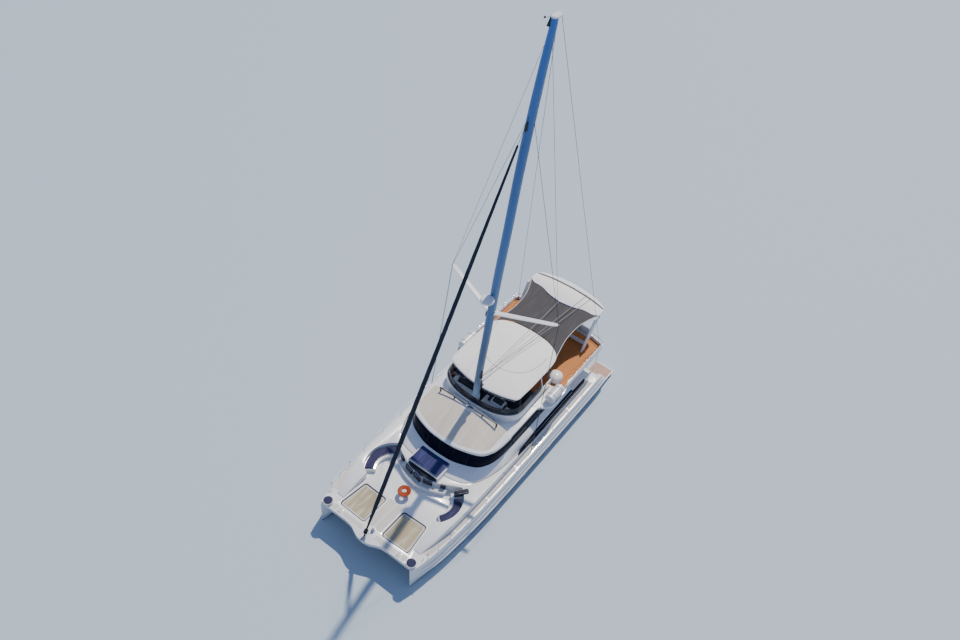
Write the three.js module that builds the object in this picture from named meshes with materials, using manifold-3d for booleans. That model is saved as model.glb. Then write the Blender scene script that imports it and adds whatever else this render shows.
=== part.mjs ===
// Sailing catamaran, 24 m long, afloat.
// Millimetres. +X to the bow, +Y to port, +Z up.
// Origin on the waterline, on the centreline, amidships.

import * as THREE from 'three';
import { mergeVertices } from 'three/addons/utils/BufferGeometryUtils.js';
import Module from 'manifold-3d';

const wasm = await Module();
wasm.setup();

// Driving dimensions
const HALF_BEAM = 4860;
const DECK = 2000;
const PLATEAU = 2700;
const HULL_INNER = 2850;
const TUNNEL = 900;
const PLATFORM = 450;
const FLY_FLOOR = 4500;
const COAMING_TOP = 5300;
const HARDTOP = 6500;
const ARCH = 7000;
const MASTHEAD_Z = 32200;
const GAP = 0.3;
const RUNNING = 0.8;

const PORT = 1;
const STARBOARD = -1;

// Materials
function paint(colour, roughness = 0.4, metalness = 0) {
  return new THREE.MeshStandardMaterial({ color: colour, roughness, metalness });
}

const GELCOAT = paint(0xe6e4de, 0.3);
const NON_SKID = paint(0xd9d5cb, 0.75);
const NAVY = paint(0x23274f, 0.85);
const GLASS = paint(0x0e1118, 0.08);
const STEEL = paint(0xb8bcc0, 0.25, 1);
const SPAR = paint(0x8ba0bd, 0.35, 0.4);
const DARK_WIRE = paint(0x17181c, 0.6, 0.3);
const SAILCLOTH = paint(0x15161b, 0.85);
const MESH_CLOTH = paint(0x47474a, 0.9);
const NETTING = paint(0xab9d7f, 0.9);
const VARNISH = paint(0xb5501c, 0.25);
const WHITE_COVER = paint(0xe9e7e2, 0.8);
const ANTIFOUL = paint(0x20242c, 0.8);
const BRONZE = paint(0x9a7a3c, 0.35, 1);

const boat = new THREE.Group();

// Closed solids from three.js geometries
function toSolid(geometry) {
  let plain = geometry.index ? geometry.toNonIndexed() : geometry.clone();
  for (const name of Object.keys(plain.attributes)) {
    if (name !== 'position') plain.deleteAttribute(name);
  }
  plain = mergeVertices(plain, 0.01);
  const place = plain.getAttribute('position').array;
  const index = [];
  const raw = plain.index.array;
  for (let i = 0; i < raw.length; i += 3) {
    const [a, b, c] = [raw[i], raw[i + 1], raw[i + 2]];
    if (a !== b && b !== c && a !== c) index.push(a, b, c);
  }
  if (volume(place, index) < 0) {
    for (let i = 0; i < index.length; i += 3) {
      [index[i], index[i + 1]] = [index[i + 1], index[i]];
    }
  }
  const body = new wasm.Mesh({
    numProp: 3,
    vertProperties: new Float32Array(place),
    triVerts: new Uint32Array(index),
  });
  return new wasm.Manifold(body);
}

function volume(place, index) {
  let sum = 0;
  const a = new THREE.Vector3();
  const b = new THREE.Vector3();
  const c = new THREE.Vector3();
  for (let i = 0; i < index.length; i += 3) {
    a.fromArray(place, 3 * index[i]);
    b.fromArray(place, 3 * index[i + 1]);
    c.fromArray(place, 3 * index[i + 2]);
    sum += a.dot(b.cross(c));
  }
  return sum / 6;
}

function addNode(name, solid, material) {
  const body = solid.getMesh();
  const geometry = new THREE.BufferGeometry();
  const place = new Float32Array(body.vertProperties);
  geometry.setAttribute('position', new THREE.BufferAttribute(place, 3));
  geometry.setIndex(new THREE.BufferAttribute(new Uint32Array(body.triVerts), 1));
  geometry.computeVertexNormals();
  const mesh = new THREE.Mesh(geometry, material);
  mesh.name = name;
  boat.add(mesh);
}

// Box between two corners
function block(x0, x1, y0, y1, z0, z1) {
  const geometry = new THREE.BoxGeometry(Math.abs(x1 - x0), Math.abs(y1 - y0), Math.abs(z1 - z0));
  geometry.translate((x0 + x1) / 2, (y0 + y1) / 2, (z0 + z1) / 2);
  return toSolid(geometry);
}

// Upright prism over an outline in plan
function prism(outline, z0, z1) {
  const shape = new THREE.Shape(outline.map(([x, y]) => new THREE.Vector2(x, y)));
  const geometry = new THREE.ExtrudeGeometry(shape, { depth: z1 - z0, bevelEnabled: false });
  geometry.translate(0, 0, z0);
  return toSolid(geometry);
}

// Prism across the boat over an outline in side view, given as (x, z)
function crosswise(outline, y0, y1) {
  const shape = new THREE.Shape(outline.map(([x, z]) => new THREE.Vector2(x, -z)));
  const geometry = new THREE.ExtrudeGeometry(shape, { depth: y1 - y0, bevelEnabled: false });
  geometry.rotateX(-Math.PI / 2);
  geometry.translate(0, y0, 0);
  return toSolid(geometry);
}

// Round bar between two points, tapering from one radius to the other
function rod(from, to, radius, endRadius = radius, sides = 10) {
  const a = new THREE.Vector3(...from);
  const b = new THREE.Vector3(...to);
  const length = a.distanceTo(b);
  const geometry = new THREE.CylinderGeometry(endRadius, radius, length, sides);
  const up = new THREE.Vector3(0, 1, 0);
  const along = b.clone().sub(a).normalize();
  geometry.applyQuaternion(new THREE.Quaternion().setFromUnitVectors(up, along));
  geometry.translate((a.x + b.x) / 2, (a.y + b.y) / 2, (a.z + b.z) / 2);
  return toSolid(geometry);
}

// Skin over a row of closed rings that all have the same number of points
function loft(rings) {
  const count = rings[0].length;
  const geometry = new THREE.CylinderGeometry(1, 1, 1, count, rings.length - 1);
  const place = geometry.getAttribute('position');
  const centres = rings.map((ring) => ring.reduce((s, p) => s.map((v, k) => v + p[k] / count), [0, 0, 0]));
  for (let i = 0; i < place.count; i += 1) {
    const row = Math.round((0.5 - place.getY(i)) * (rings.length - 1));
    const away = Math.hypot(place.getX(i), place.getZ(i));
    const turn = Math.atan2(place.getX(i), place.getZ(i)) / (2 * Math.PI);
    const column = (Math.round(turn * count) + count) % count;
    const point = away < 0.5 ? centres[row] : rings[row][column];
    place.setXYZ(i, ...point);
  }
  return toSolid(geometry);
}

// Smooth value at x in a table of (x, value) pairs
function along(table, x) {
  const last = table.length - 1;
  if (x <= table[0][0]) return table[0][1];
  if (x >= table[last][0]) return table[last][1];
  const i = table.findIndex(([at]) => at > x);
  const slope = (k) => {
    const a = table[Math.max(k - 1, 0)];
    const b = table[Math.min(k + 1, last)];
    const turns = (b[1] - table[k][1]) * (table[k][1] - a[1]) <= 0;
    return turns ? 0 : (b[1] - a[1]) / (b[0] - a[0]);
  };
  const [x0, v0] = table[i - 1];
  const [x1, v1] = table[i];
  const span = x1 - x0;
  const t = (x - x0) / span;
  const rise = t * t * (3 - 2 * t);
  return v0 * (1 - rise) + v1 * rise + span * t * (1 - t) * ((1 - t) * slope(i - 1) - t * slope(i));
}

// Points on a smooth curve through a few corners
function smooth(corners, count) {
  const curve = new THREE.SplineCurve(corners.map(([x, y]) => new THREE.Vector2(x, y)));
  return curve.getPoints(count).map((p) => [p.x, p.y]);
}

function mix(a, b, t) {
  return a + (b - a) * t;
}

// Full outline from one side's points, running bow to stern on the centreline
function bothSides(half) {
  const other = half.filter(([, y]) => y > 1).map(([x, y]) => [x, -y]).reverse();
  return [...half, ...other];
}

// Hulls, each with two ledges along its outer side
const STATIONS = [-12000, -11200, -10400, -9700, -9000, -7500, -6000, -4000, -2000, 0, 2000, 3500, 5000,
  6000, 7000, 8000, 9000, 9700, 10300, 10800, 11200, 11500, 11700, 11850, 11950, 12000];
const LEDGE = 100;
const DECK_EDGE = HALF_BEAM - 2 * LEDGE;
const OUTER_DECK = [[-12000, DECK_EDGE - 180], [-9000, DECK_EDGE - 60], [-3000, DECK_EDGE - 10],
  [2000, DECK_EDGE],
  [5000, DECK_EDGE - 20], [7000, DECK_EDGE - 100], [9000, 4420], [10200, 4270], [11100, 4110],
  [11600, 3985], [11900, 3880], [12000, 3835]];
const INNER_DECK = [[-12000, HULL_INNER], [7000, HULL_INNER], [9000, 2900], [10200, 3000], [11100, 3220],
  [11600, 3460], [11900, 3680], [12000, 3790]];
const OUTER_WATER = [[-12000, 4450], [-9000, 4600], [0, 4680], [5000, 4620], [7000, 4500], [9000, 4290],
  [10200, 4120], [11100, 3970], [11600, 3890], [11900, 3845], [12000, 3830]];
const INNER_WATER = [[-12000, 3250], [-9000, 3150], [0, 3120], [5000, 3180], [7000, 3260], [9000, 3390],
  [10200, 3500], [11100, 3620], [11600, 3710], [11900, 3780], [12000, 3800]];
const KEEL_LINE = [[-12000, -60], [-10400, -300], [-9000, -520], [-6000, -760], [0, -850], [5000, -830],
  [9000, -720], [11100, -560], [11900, -420], [12000, -380]];
const LEDGE_FADE = 1800;
const UPPER_LEDGE_Z = 1480;
const LOWER_LEDGE_Z = 1090;

function hullRing(x, side) {
  const deckOut = along(OUTER_DECK, x);
  const deckIn = along(INNER_DECK, x);
  const waterOut = along(OUTER_WATER, x);
  const waterIn = along(INNER_WATER, x);
  const middle = (waterOut + waterIn) / 2;
  const keel = along(KEEL_LINE, x);
  const ledge = LEDGE * Math.min(1, (12000 - x) / LEDGE_FADE);
  const belly = deckOut + 2 * ledge;
  const ring = [
    [deckOut - 30, DECK],
    [deckOut, DECK - 40],
    [deckOut, UPPER_LEDGE_Z],
    [deckOut + 0.95 * ledge, UPPER_LEDGE_Z - 0.9 * ledge],
    [deckOut + 0.85 * ledge, LOWER_LEDGE_Z],
    [belly, LOWER_LEDGE_Z - 1.1 * ledge],
    [belly - 0.05 * ledge, LOWER_LEDGE_Z - 200],
    [mix(waterOut, belly, 0.35), 350],
    [waterOut, 0],
    [mix(middle, waterOut, 0.97), keel * 0.35],
    [mix(middle, waterOut, 0.8), keel * 0.68],
    [mix(middle, waterOut, 0.42), keel * 0.93],
    [middle, keel],
    [mix(middle, waterIn, 0.42), keel * 0.93],
    [mix(middle, waterIn, 0.8), keel * 0.68],
    [mix(middle, waterIn, 0.97), keel * 0.35],
    [waterIn, 0],
    [mix(waterIn, deckIn, 0.35), TUNNEL - 520],
    [mix(waterIn, deckIn, 0.85), TUNNEL - 180],
    [deckIn, TUNNEL - GAP],
    [deckIn, DECK - 350],
    [deckIn, DECK],
  ];
  return ring.map(([y, z]) => [x, side * y, z]);
}

const KEEL_FIN = [[2600, -700], [-2600, -700], [-2300, -1600], [1500, -1600]];
const SHAFT_X = -8300;
const SHAFT_Z = -1010;
const SHAFT_TILT = 7;
const RUDDER_X = -10300;
const HULL_MIDDLE = 3850;
const STOCK = 45;

// Steps down to each swim platform, as the front edge and height of each tread
const STEPS = [[-10300, PLATFORM], [-9900, 970], [-9500, 1480]];

// The topsides sweep down to the swim platform at the stern
const QUARTER_CUT = [[-10480, PLATFORM], [-10450, 700], [-10350, 1050], [-10150, 1430], [-9850, 1760],
  [-9500, 1950], [-9250, DECK], [-9250, 2600], [-12600, 2600], [-12600, PLATFORM]];

function hull(side) {
  let body = loft(STATIONS.map((x) => hullRing(x, side)));
  const fin = crosswise(KEEL_FIN, side * HULL_MIDDLE - 110, side * HULL_MIDDLE + 110);
  body = body.add(fin);
  for (const [x, z] of STEPS) {
    body = body.subtract(block(x, -12500, side * 3050, side * 4250, z, 2600));
  }
  const quarter = crosswise(QUARTER_CUT, 2700, 5000);
  body = body.subtract(side > 0 ? quarter : quarter.mirror([0, 1, 0]));
  body = body.subtract(rod([RUDDER_X, side * HULL_MIDDLE, -900], [RUDDER_X, side * HULL_MIDDLE, 200],
    STOCK + RUNNING, STOCK + RUNNING, 32));
  return body;
}

const hulls = { [PORT]: hull(PORT), [STARBOARD]: hull(STARBOARD) };
addNode('hull_port', hulls[PORT], GELCOAT);
addNode('hull_starboard', hulls[STARBOARD], GELCOAT);

// Bridge deck between the hulls
const BRIDGE_AFT = -10400;
const BRIDGE_FRONT = 6400;
const INNER_EDGE = HULL_INNER - GAP;
const BRIDGE_SIDE = [[BRIDGE_AFT, 1250], [BRIDGE_AFT + 900, TUNNEL], [4600, TUNNEL], [BRIDGE_FRONT, 1550],
  [BRIDGE_FRONT, DECK], [BRIDGE_AFT, DECK]];
addNode('bridgedeck', crosswise(BRIDGE_SIDE, -INNER_EDGE, INNER_EDGE), GELCOAT);

// Foredeck with its two net openings and the rounded nose
const DECK_UNDER = DECK - 300;
const FRONT = 11850;
const FOREDECK_HALF = [
  ...smooth([[12300, 0], [12255, 420], [12120, 760], [FRONT + 60, 1250], [FRONT, 1800]], 12),
  ...STATIONS.filter((x) => x > BRIDGE_FRONT && x <= FRONT).reverse()
    .map((x) => [x, along(INNER_DECK, x) - GAP]),
  [BRIDGE_FRONT + GAP, INNER_EDGE],
];
const FOREDECK = bothSides(FOREDECK_HALF);

function netOutline(side, grow) {
  const corners = [[8950 - grow, 720 - grow], [11240 + grow, 720 - grow], [11180 + grow, 2940 + grow * 0.7],
    [8880 - grow, 2660 + grow]];
  const cut = 230;
  const outline = [];
  for (let i = 0; i < corners.length; i += 1) {
    const here = new THREE.Vector2(...corners[i]);
    const before = new THREE.Vector2(...corners[(i + 3) % 4]);
    const after = new THREE.Vector2(...corners[(i + 1) % 4]);
    const start = here.clone().add(before.sub(here).setLength(cut));
    const end = here.clone().add(after.sub(here).setLength(cut));
    const bend = new THREE.QuadraticBezierCurve(start, here, end);
    outline.push(...bend.getPoints(4).map((p) => [p.x, side * p.y]));
  }
  return outline;
}

let foredeck = prism(FOREDECK, DECK_UNDER, DECK);
const spine = crosswise([[6400 + GAP, 1500], [11900, 1500], [12200, 1700], [12200, 1800],
  [6400 + GAP, 1800]], -520, 520);
foredeck = foredeck.add(spine);
for (const side of [PORT, STARBOARD]) {
  foredeck = foredeck.subtract(prism(netOutline(side, 0), 1000, 2600));
}
addNode('foredeck', foredeck, NON_SKID);

const NET_TOP = DECK - 60;
for (const [name, side] of [['port', PORT], ['starboard', STARBOARD]]) {
  addNode(`trampoline_${name}`, prism(netOutline(side, -GAP), NET_TOP - 20, NET_TOP), NETTING);
}

// Bow fittings
const roller = block(11900, 12380, -60, 60, DECK + GAP, DECK + 120);
addNode('bow_roller', roller, STEEL);
const WINDLASS = [11350, 150];
const windlassBase = DECK + GAP;
addNode('windlass_drum', rod([...WINDLASS, windlassBase], [...WINDLASS, DECK + 260], 130, 90, 16), STEEL);

for (const [name, side] of [['port', PORT], ['starboard', STARBOARD]]) {
  const centre = [11580, side * 3560];
  const profile = [[0, 0], [300, 0], [300, 60], [350, 80], [360, 110], [360, 190], [330, 230], [0, 240]];
  const seat = new THREE.LatheGeometry(profile.map(([r, z]) => new THREE.Vector2(r, z)), 20);
  seat.rotateX(Math.PI / 2);
  seat.translate(centre[0], centre[1], DECK + GAP);
  addNode(`bow_seat_${name}`, toSolid(seat), NAVY);
}

// Hatches in the front beam by each bow, hinged at their aft edge
const HATCH = 360;
const HATCH_AFT = 11360;
const HATCH_Y = 2500;
for (const [name, side] of [['port', PORT], ['starboard', STARBOARD]]) {
  const y = side * HATCH_Y;
  const lid = block(HATCH_AFT, HATCH_AFT + HATCH, y - HATCH / 2, y + HATCH / 2, DECK + GAP, DECK + 40);
  addNode(`bow_hatch_${name}`, lid, GELCOAT);
}

// Round table with an open middle, on four legs
const TABLE = [8000, -60];
const TABLE_HOLE = 150;
const tableRing = [[TABLE_HOLE, 470], [440, 470], [455, 485], [455, 500], [440, 520], [TABLE_HOLE, 520],
  [TABLE_HOLE, 470]];
const tableTop = new THREE.LatheGeometry(tableRing.map(([r, z]) => new THREE.Vector2(r, z)), 24);
tableTop.rotateX(Math.PI / 2);
const footRing = new THREE.TorusGeometry(230, 16, 8, 16);
footRing.translate(0, 0, 16);
let table = toSolid(tableTop).add(toSolid(footRing));
for (let i = 0; i < 4; i += 1) {
  const turn = Math.PI / 4 + (i * Math.PI) / 2;
  const [c, s] = [Math.cos(turn), Math.sin(turn)];
  table = table.add(rod([230 * c, 230 * s, 16], [250 * c, 250 * s, 490], 18, 18, 8));
}
addNode('lounge_table', table.translate([...TABLE, DECK + GAP]), VARNISH);

// The side benches follow an arc round the table and are moulded into the raised surround
const BENCH_CENTRE = [7150, 1750];
const BENCH_INNER = 1190;
const BENCH_OUTER = 2010;
const BENCH_FROM = 52;
const BENCH_TO = 148;
function arc(radius, from, to, steps) {
  const points = [];
  for (let i = 0; i <= steps; i += 1) {
    const turn = THREE.MathUtils.degToRad(mix(from, to, i / steps));
    points.push([BENCH_CENTRE[0] + radius * Math.cos(turn), BENCH_CENTRE[1] + radius * Math.sin(turn)]);
  }
  return points;
}
function arcBand(inner, outer, from, to, side) {
  const outline = [...arc(outer, from, to, 14), ...arc(inner, from, to, 14).reverse()];
  return outline.map(([x, y]) => [x, side * y]);
}
const SURROUND_OUT = [[10700, 3560], [9600, 3830], [8000, 4080], [5500, 4170], [3700, 4190], [1000, 4190],
  [-6000, 4110], [-8600, 4060]];
const SURROUND_IN = 3420;
const SURROUND_SLOPE = [[12000, DECK], [10700, DECK + 40], [8200, PLATEAU], [8200, 3000], [12000, 3000]];
const BENCH_TOP = DECK + 330;
const PAD_TO_PORT = 129;
const PAD_TO_STARBOARD = 147;
const PAD_THICK = 120;
for (const [name, side] of [['port', PORT], ['starboard', STARBOARD]]) {
  const outline = [...SURROUND_OUT, [-8600, SURROUND_IN], [3600, SURROUND_IN], [4700, 3180],
    ...arc(BENCH_OUTER, BENCH_FROM, BENCH_TO, 14).reverse(), [8550, 2880], [10700, 3010]];
  const surround = prism(outline.map(([x, y]) => [x, side * y]), DECK + GAP, PLATEAU);
  const slope = crosswise(SURROUND_SLOPE, -5000, 5000);
  const seat = prism(arcBand(BENCH_INNER, BENCH_OUTER + 20, BENCH_FROM, BENCH_TO, side), DECK + GAP,
    BENCH_TOP);
  addNode(`lounge_bench_${name}`, surround.subtract(slope).add(seat), GELCOAT);
  const padEnd = side === PORT ? PAD_TO_PORT : PAD_TO_STARBOARD;
  const pad = prism(arcBand(BENCH_INNER + 130, BENCH_OUTER - 20, BENCH_FROM + 1, padEnd, side),
    BENCH_TOP + GAP, BENCH_TOP + PAD_THICK);
  addNode(`lounge_cushion_${name}`, pad, NAVY);
}

// Cabin trunk
const TRUNK_FOOT_HALF = [...smooth([[5560, 0], [5500, 1300], [5240, 2480], [4500, 3290], [3400, 3720],
  [2200, 3960]], 24), [0, 4080], [-6300, 4000]];
const WINDOW_FOOT_HALF = [...smooth([[4650, 0], [4540, 1250], [3980, 2650], [3300, 3220], [2500, 3470],
  [1800, 3540]], 24), [0, 3580], [-6300, 3480]];
const WINDOW_HEAD_HALF = [...smooth([[4250, 0], [4140, 1250], [3620, 2650], [2900, 3180], [2200, 3370],
  [1500, 3430]], 24), [-300, 3440], [-6300, 3330]];
const WINDOW_FOOT = 3250;
const WINDOW_HEAD = 4300;

function outlineRing(half, z, inset, dropBack = 0) {
  const shrink = 1 - inset / 3500;
  return bothSides(half).map(([x, y]) => [x < -6000 ? x - dropBack : x - inset, y * shrink, z]);
}

function wall(footHalf, headHalf, z0, z1, thickness) {
  const outside = loft([outlineRing(footHalf, z0, 0), outlineRing(headHalf, z1, 0)]);
  const inside = loft([outlineRing(footHalf, z0 - 5, thickness, 500),
    outlineRing(headHalf, z1 + 5, thickness, 500)]);
  return outside.subtract(inside);
}

addNode('cabin_trunk', wall(TRUNK_FOOT_HALF, WINDOW_FOOT_HALF, PLATEAU + GAP, WINDOW_FOOT, 90), GELCOAT);
addNode('cabin_windows', wall(WINDOW_FOOT_HALF, WINDOW_HEAD_HALF, WINDOW_FOOT + GAP, WINDOW_HEAD, 40),
  GLASS);

// Aft bulkhead of the saloon, with its wide doorway
const BULKHEAD_X = -6300;
const DOOR_HALF = 1500;
const DOOR_HEAD = 4050;
const bulkheadOutline = [[SURROUND_IN - GAP, DECK + GAP], [SURROUND_IN - GAP, PLATEAU + GAP],
  [3990, PLATEAU + GAP], [3470, WINDOW_FOOT], [3320, WINDOW_HEAD]];
bulkheadOutline.push(...bulkheadOutline.map(([y, z]) => [-y, z]).reverse());
const bulkheadShape = new THREE.Shape(bulkheadOutline.map(([y, z]) => new THREE.Vector2(y, z)));
const bulkheadGeometry = new THREE.ExtrudeGeometry(bulkheadShape, { depth: 80, bevelEnabled: false });
const bulkheadPlace = bulkheadGeometry.getAttribute('position');
for (let i = 0; i < bulkheadPlace.count; i += 1) {
  const [y, z, depth] = [bulkheadPlace.getX(i), bulkheadPlace.getY(i), bulkheadPlace.getZ(i)];
  bulkheadPlace.setXYZ(i, BULKHEAD_X - GAP - depth, y, z);
}
let bulkhead = toSolid(bulkheadGeometry);
bulkhead = bulkhead.subtract(block(-7000, -6000, -DOOR_HALF, DOOR_HALF, DECK + 60, DOOR_HEAD));
addNode('aft_bulkhead', bulkhead, GELCOAT);

// Sliding door and its fixed pane, one behind the other
const PANE = 40;
const DOOR_AFT = BULKHEAD_X - 80 - GAP - RUNNING;
addNode('saloon_door', block(DOOR_AFT, DOOR_AFT - PANE, -20, DOOR_HALF + 60, DECK + 30, DOOR_HEAD + 60),
  GLASS);
addNode('saloon_pane', block(BULKHEAD_X - 20, BULKHEAD_X - 20 - PANE, -DOOR_HALF + GAP, 60, DECK + 60 + GAP,
  DOOR_HEAD - GAP), GLASS);

// Coachroof, rising from the brow over the windows to the foot of the windscreen
const ROOF_UNDER = WINDOW_HEAD + GAP;
const ROOF_AFT = 1140;
const ROOF_FRONT = 4310;
const ROOF_EDGE = 4430;
const ROOF_RISE = 740;
const ROOF_HALF_WIDTH = 3580;
const ROOF_HALF = [...smooth([[ROOF_FRONT, 0], [4200, 1260], [3680, 2740], [2950, 3290], [2200, 3480],
  [1500, 3540]], 24), [ROOF_AFT, 3550]];
function roofHeight(x, y) {
  const back = Math.max((ROOF_FRONT - x) / (ROOF_FRONT - ROOF_AFT), 0);
  const side = Math.max(1 - (y / ROOF_HALF_WIDTH) ** 2, 0);
  return ROOF_EDGE + ROOF_RISE * back ** 0.85 * side ** 0.6;
}
function roofRing(share) {
  const place = ([x, y]) => [ROOF_AFT + (x - ROOF_AFT) * share, y * share];
  return bothSides(ROOF_HALF).map(place).map(([x, y]) => [x, y, roofHeight(x, y)]);
}
const roofFoot = bothSides(ROOF_HALF).map(([x, y]) => [x, y, ROOF_UNDER]);
const coachroof = loft([roofFoot, ...[1, 0.985, 0.95, 0.88, 0.76, 0.58, 0.36, 0.12].map(roofRing)]);
addNode('coachroof', coachroof, NON_SKID);

// Flybridge floor, widening aft over the cockpit, with a lip round its aft part
const FLY_FRONT = ROOF_AFT - GAP;
const FLY_AFT = -10450;
const FLY_CORNER = [[-9750, 3980], [-9930, 3960], [-10010, 3900], [-10050, 3800], [-10250, 3000],
  [-10380, 2000], [-10430, 1000]];
const FLY_DECK_HALF = [[FLY_FRONT, 0], [FLY_FRONT, 3500], [-1900, 3480],
  ...smooth([[-2100, 3500], [-2500, 3900], [-2900, 4190], [-3600, 4230], [-4400, 4180], [-5000, 4030]], 14),
  ...FLY_CORNER, [FLY_AFT, 0]];
const LIP = 90;
const LIP_TOP = FLY_FLOOR + 280;
const lipOutside = bothSides([[-4900, 0], [-4900, 4055], [-5000, 4030], ...FLY_CORNER, [FLY_AFT, 0]]);
const lipInside = lipOutside.map(([x, y]) => [x < -10000 ? x + LIP : x + 2 * LIP, y - Math.sign(y) * LIP]);
let flyDeck = prism(bothSides(FLY_DECK_HALF), ROOF_UNDER, FLY_FLOOR);
const lip = prism(lipOutside, FLY_FLOOR - 50, LIP_TOP).subtract(prism(lipInside, FLY_FLOOR - 100,
  LIP_TOP + 100))
  .subtract(block(-5050, -4500, -3800, 3800, FLY_FLOOR, LIP_TOP + 100));
flyDeck = flyDeck.add(lip);

// Two benches with backs along the aft lip, each with a low table ahead of it
const AFT_BENCH_INNER = 900;
const AFT_BENCH_OUTER = 2750;
const AFT_BENCH = [
  { aft: -10210, fore: -9800, top: 4860 },
  { aft: -10230, fore: -10110, top: 5300 },
  { aft: -9650, fore: -9200, top: 4950 },
];
for (const side of [PORT, STARBOARD]) {
  for (const { aft, fore, top } of AFT_BENCH) {
    const [y0, y1] = [side * AFT_BENCH_INNER, side * AFT_BENCH_OUTER].sort((a, b) => a - b);
    flyDeck = flyDeck.add(block(aft, fore, y0, y1, FLY_FLOOR - 20, top));
  }
}
const POD = [-5100, 2950];
const podProfile = [[0, -20], [520, -20], [520, 300], [480, 430], [350, 540], [0, 600]];
const pod = new THREE.LatheGeometry(podProfile.map(([r, z]) => new THREE.Vector2(r, z)), 24);
pod.rotateX(Math.PI / 2);
pod.translate(...POD, FLY_FLOOR);
flyDeck = flyDeck.add(toSolid(pod));
const PILLAR = [-9980, 3700];
for (const side of [PORT, STARBOARD]) {
  flyDeck = flyDeck.add(rod([PILLAR[0], side * PILLAR[1], STEPS[1][1] + GAP],
    [PILLAR[0], side * PILLAR[1], FLY_FLOOR - 50], 45, 45, 12));
}
addNode('flybridge_deck', flyDeck, GELCOAT);

// Coaming round the flybridge helm, with the windscreen on its front
const COAMING_HALF = [...smooth([[1050, 0], [990, 1000], [830, 1800], [480, 2500], [-50, 2990],
  [-700, 3130]], 20), [-4300, 3050]];
const COAMING_AFT = -4000;
function coamingRing(half, z, inset) {
  const shrink = 1 - inset / 3100;
  const placed = ([x, y]) => [x < COAMING_AFT ? x - (inset ? 400 : 0) : x - inset, y * shrink, z];
  return bothSides(half).map(placed);
}
const coamingOutside = loft([coamingRing(COAMING_HALF, FLY_FLOOR + GAP, 0),
  coamingRing(COAMING_HALF, COAMING_TOP, 0)]);
const coamingInside = loft([coamingRing(COAMING_HALF, FLY_FLOOR - 5, 90),
  coamingRing(COAMING_HALF, COAMING_TOP + 5, 90)]);
addNode('flybridge_coaming', coamingOutside.subtract(coamingInside), GELCOAT);
const SCREEN_AFT = -2950;
const SCREEN_HALF = smooth([[1030, 0], [970, 990], [810, 1785], [460, 2475], [-60, 2965], [-700, 3105]],
  20);
SCREEN_HALF.push([SCREEN_AFT, 3055]);
const SCREEN_TOP = 5750;
const SCREEN_LEAN = 100;
function screenRing(t, thickness) {
  return bothSides(SCREEN_HALF).map(([x, y]) => {
    const open = thickness && x < SCREEN_AFT + 50 ? 500 : 0;
    return [x - SCREEN_LEAN * t - thickness - open, y * (1 - 0.04 * t) * (1 - thickness / 3100),
      mix(COAMING_TOP + GAP, SCREEN_TOP, t)];
  });
}
const screenOutside = loft([screenRing(0, 0), screenRing(1, 0)]);
addNode('windscreen', screenOutside.subtract(loft([screenRing(-0.02, 25), screenRing(1.02, 25)])), GLASS);

// Helm on the flybridge
addNode('helm_console', block(-500, 100, 900, 1900, FLY_FLOOR + GAP, 5350), GELCOAT);
const WHEEL = [-560, 1400, 5250];
const wheelRim = new THREE.TorusGeometry(400, 22, 6, 24);
wheelRim.rotateY(Math.PI / 2);
let wheel = toSolid(wheelRim);
wheel = wheel.add(rod([-22, 0, 0], [60 - RUNNING, 0, 0], 60, 60, 12));
for (let i = 0; i < 5; i += 1) {
  const turn = (i * 2 * Math.PI) / 5;
  wheel = wheel.add(rod([0, 0, 0], [0, 400 * Math.sin(turn), 400 * Math.cos(turn)], 12, 12, 6));
}
addNode('helm_wheel', wheel.translate(WHEEL), STEEL);
addNode('helm_seat', block(-2000, -1400, 700, 2100, FLY_FLOOR + GAP, 5050), WHITE_COVER);
addNode('flybridge_sofa', block(-4200, -600, -2900, -1900, FLY_FLOOR + GAP, 4950), NAVY);

// Hardtop on four posts
const TOP_HALF = [...smooth([[470, 0], [400, 900], [190, 1900], [-80, 2650]], 12), [-180, 2790],
  [-420, 2880],
  [-1600, 2930], ...smooth([[-3700, 2930], [-4700, 2830], [-5450, 2400], [-5930, 1400], [-6080, 0]], 16)];
function topRing(z, shrink) {
  const middleX = -2800;
  return bothSides(TOP_HALF).map(([x, y]) => [middleX + (x - middleX) * shrink, y * shrink, z]);
}
const POST_X = -3150;
let hardtop = loft([topRing(HARDTOP, 0.97), topRing(HARDTOP + 60, 1), topRing(HARDTOP + 130, 1),
  topRing(HARDTOP + 175, 0.97), topRing(HARDTOP + 215, 0.82), topRing(HARDTOP + 265, 0.76),
    topRing(HARDTOP + 340, 0.35)]);
for (const side of [PORT, STARBOARD]) {
  hardtop = hardtop.add(rod([POST_X, side * 3030, COAMING_TOP - 60], [POST_X, side * 2750, HARDTOP + 60],
    45, 45, 10));
  hardtop = hardtop.add(rod([-5250, side * 2150, FLY_FLOOR + GAP], [-5250, side * 2150, HARDTOP + 60], 50,
    50, 10));
}
const MAST_NOTCH = [200, 320];
hardtop = hardtop.subtract(block(MAST_NOTCH[0], 700, -MAST_NOTCH[1], MAST_NOTCH[1], HARDTOP - 100,
  HARDTOP + 400));
hardtop = hardtop.subtract(block(POST_X - 500, POST_X + 500, -3500, 3500, COAMING_TOP - 200,
  COAMING_TOP + GAP));
addNode('hardtop', hardtop, GELCOAT);

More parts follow.
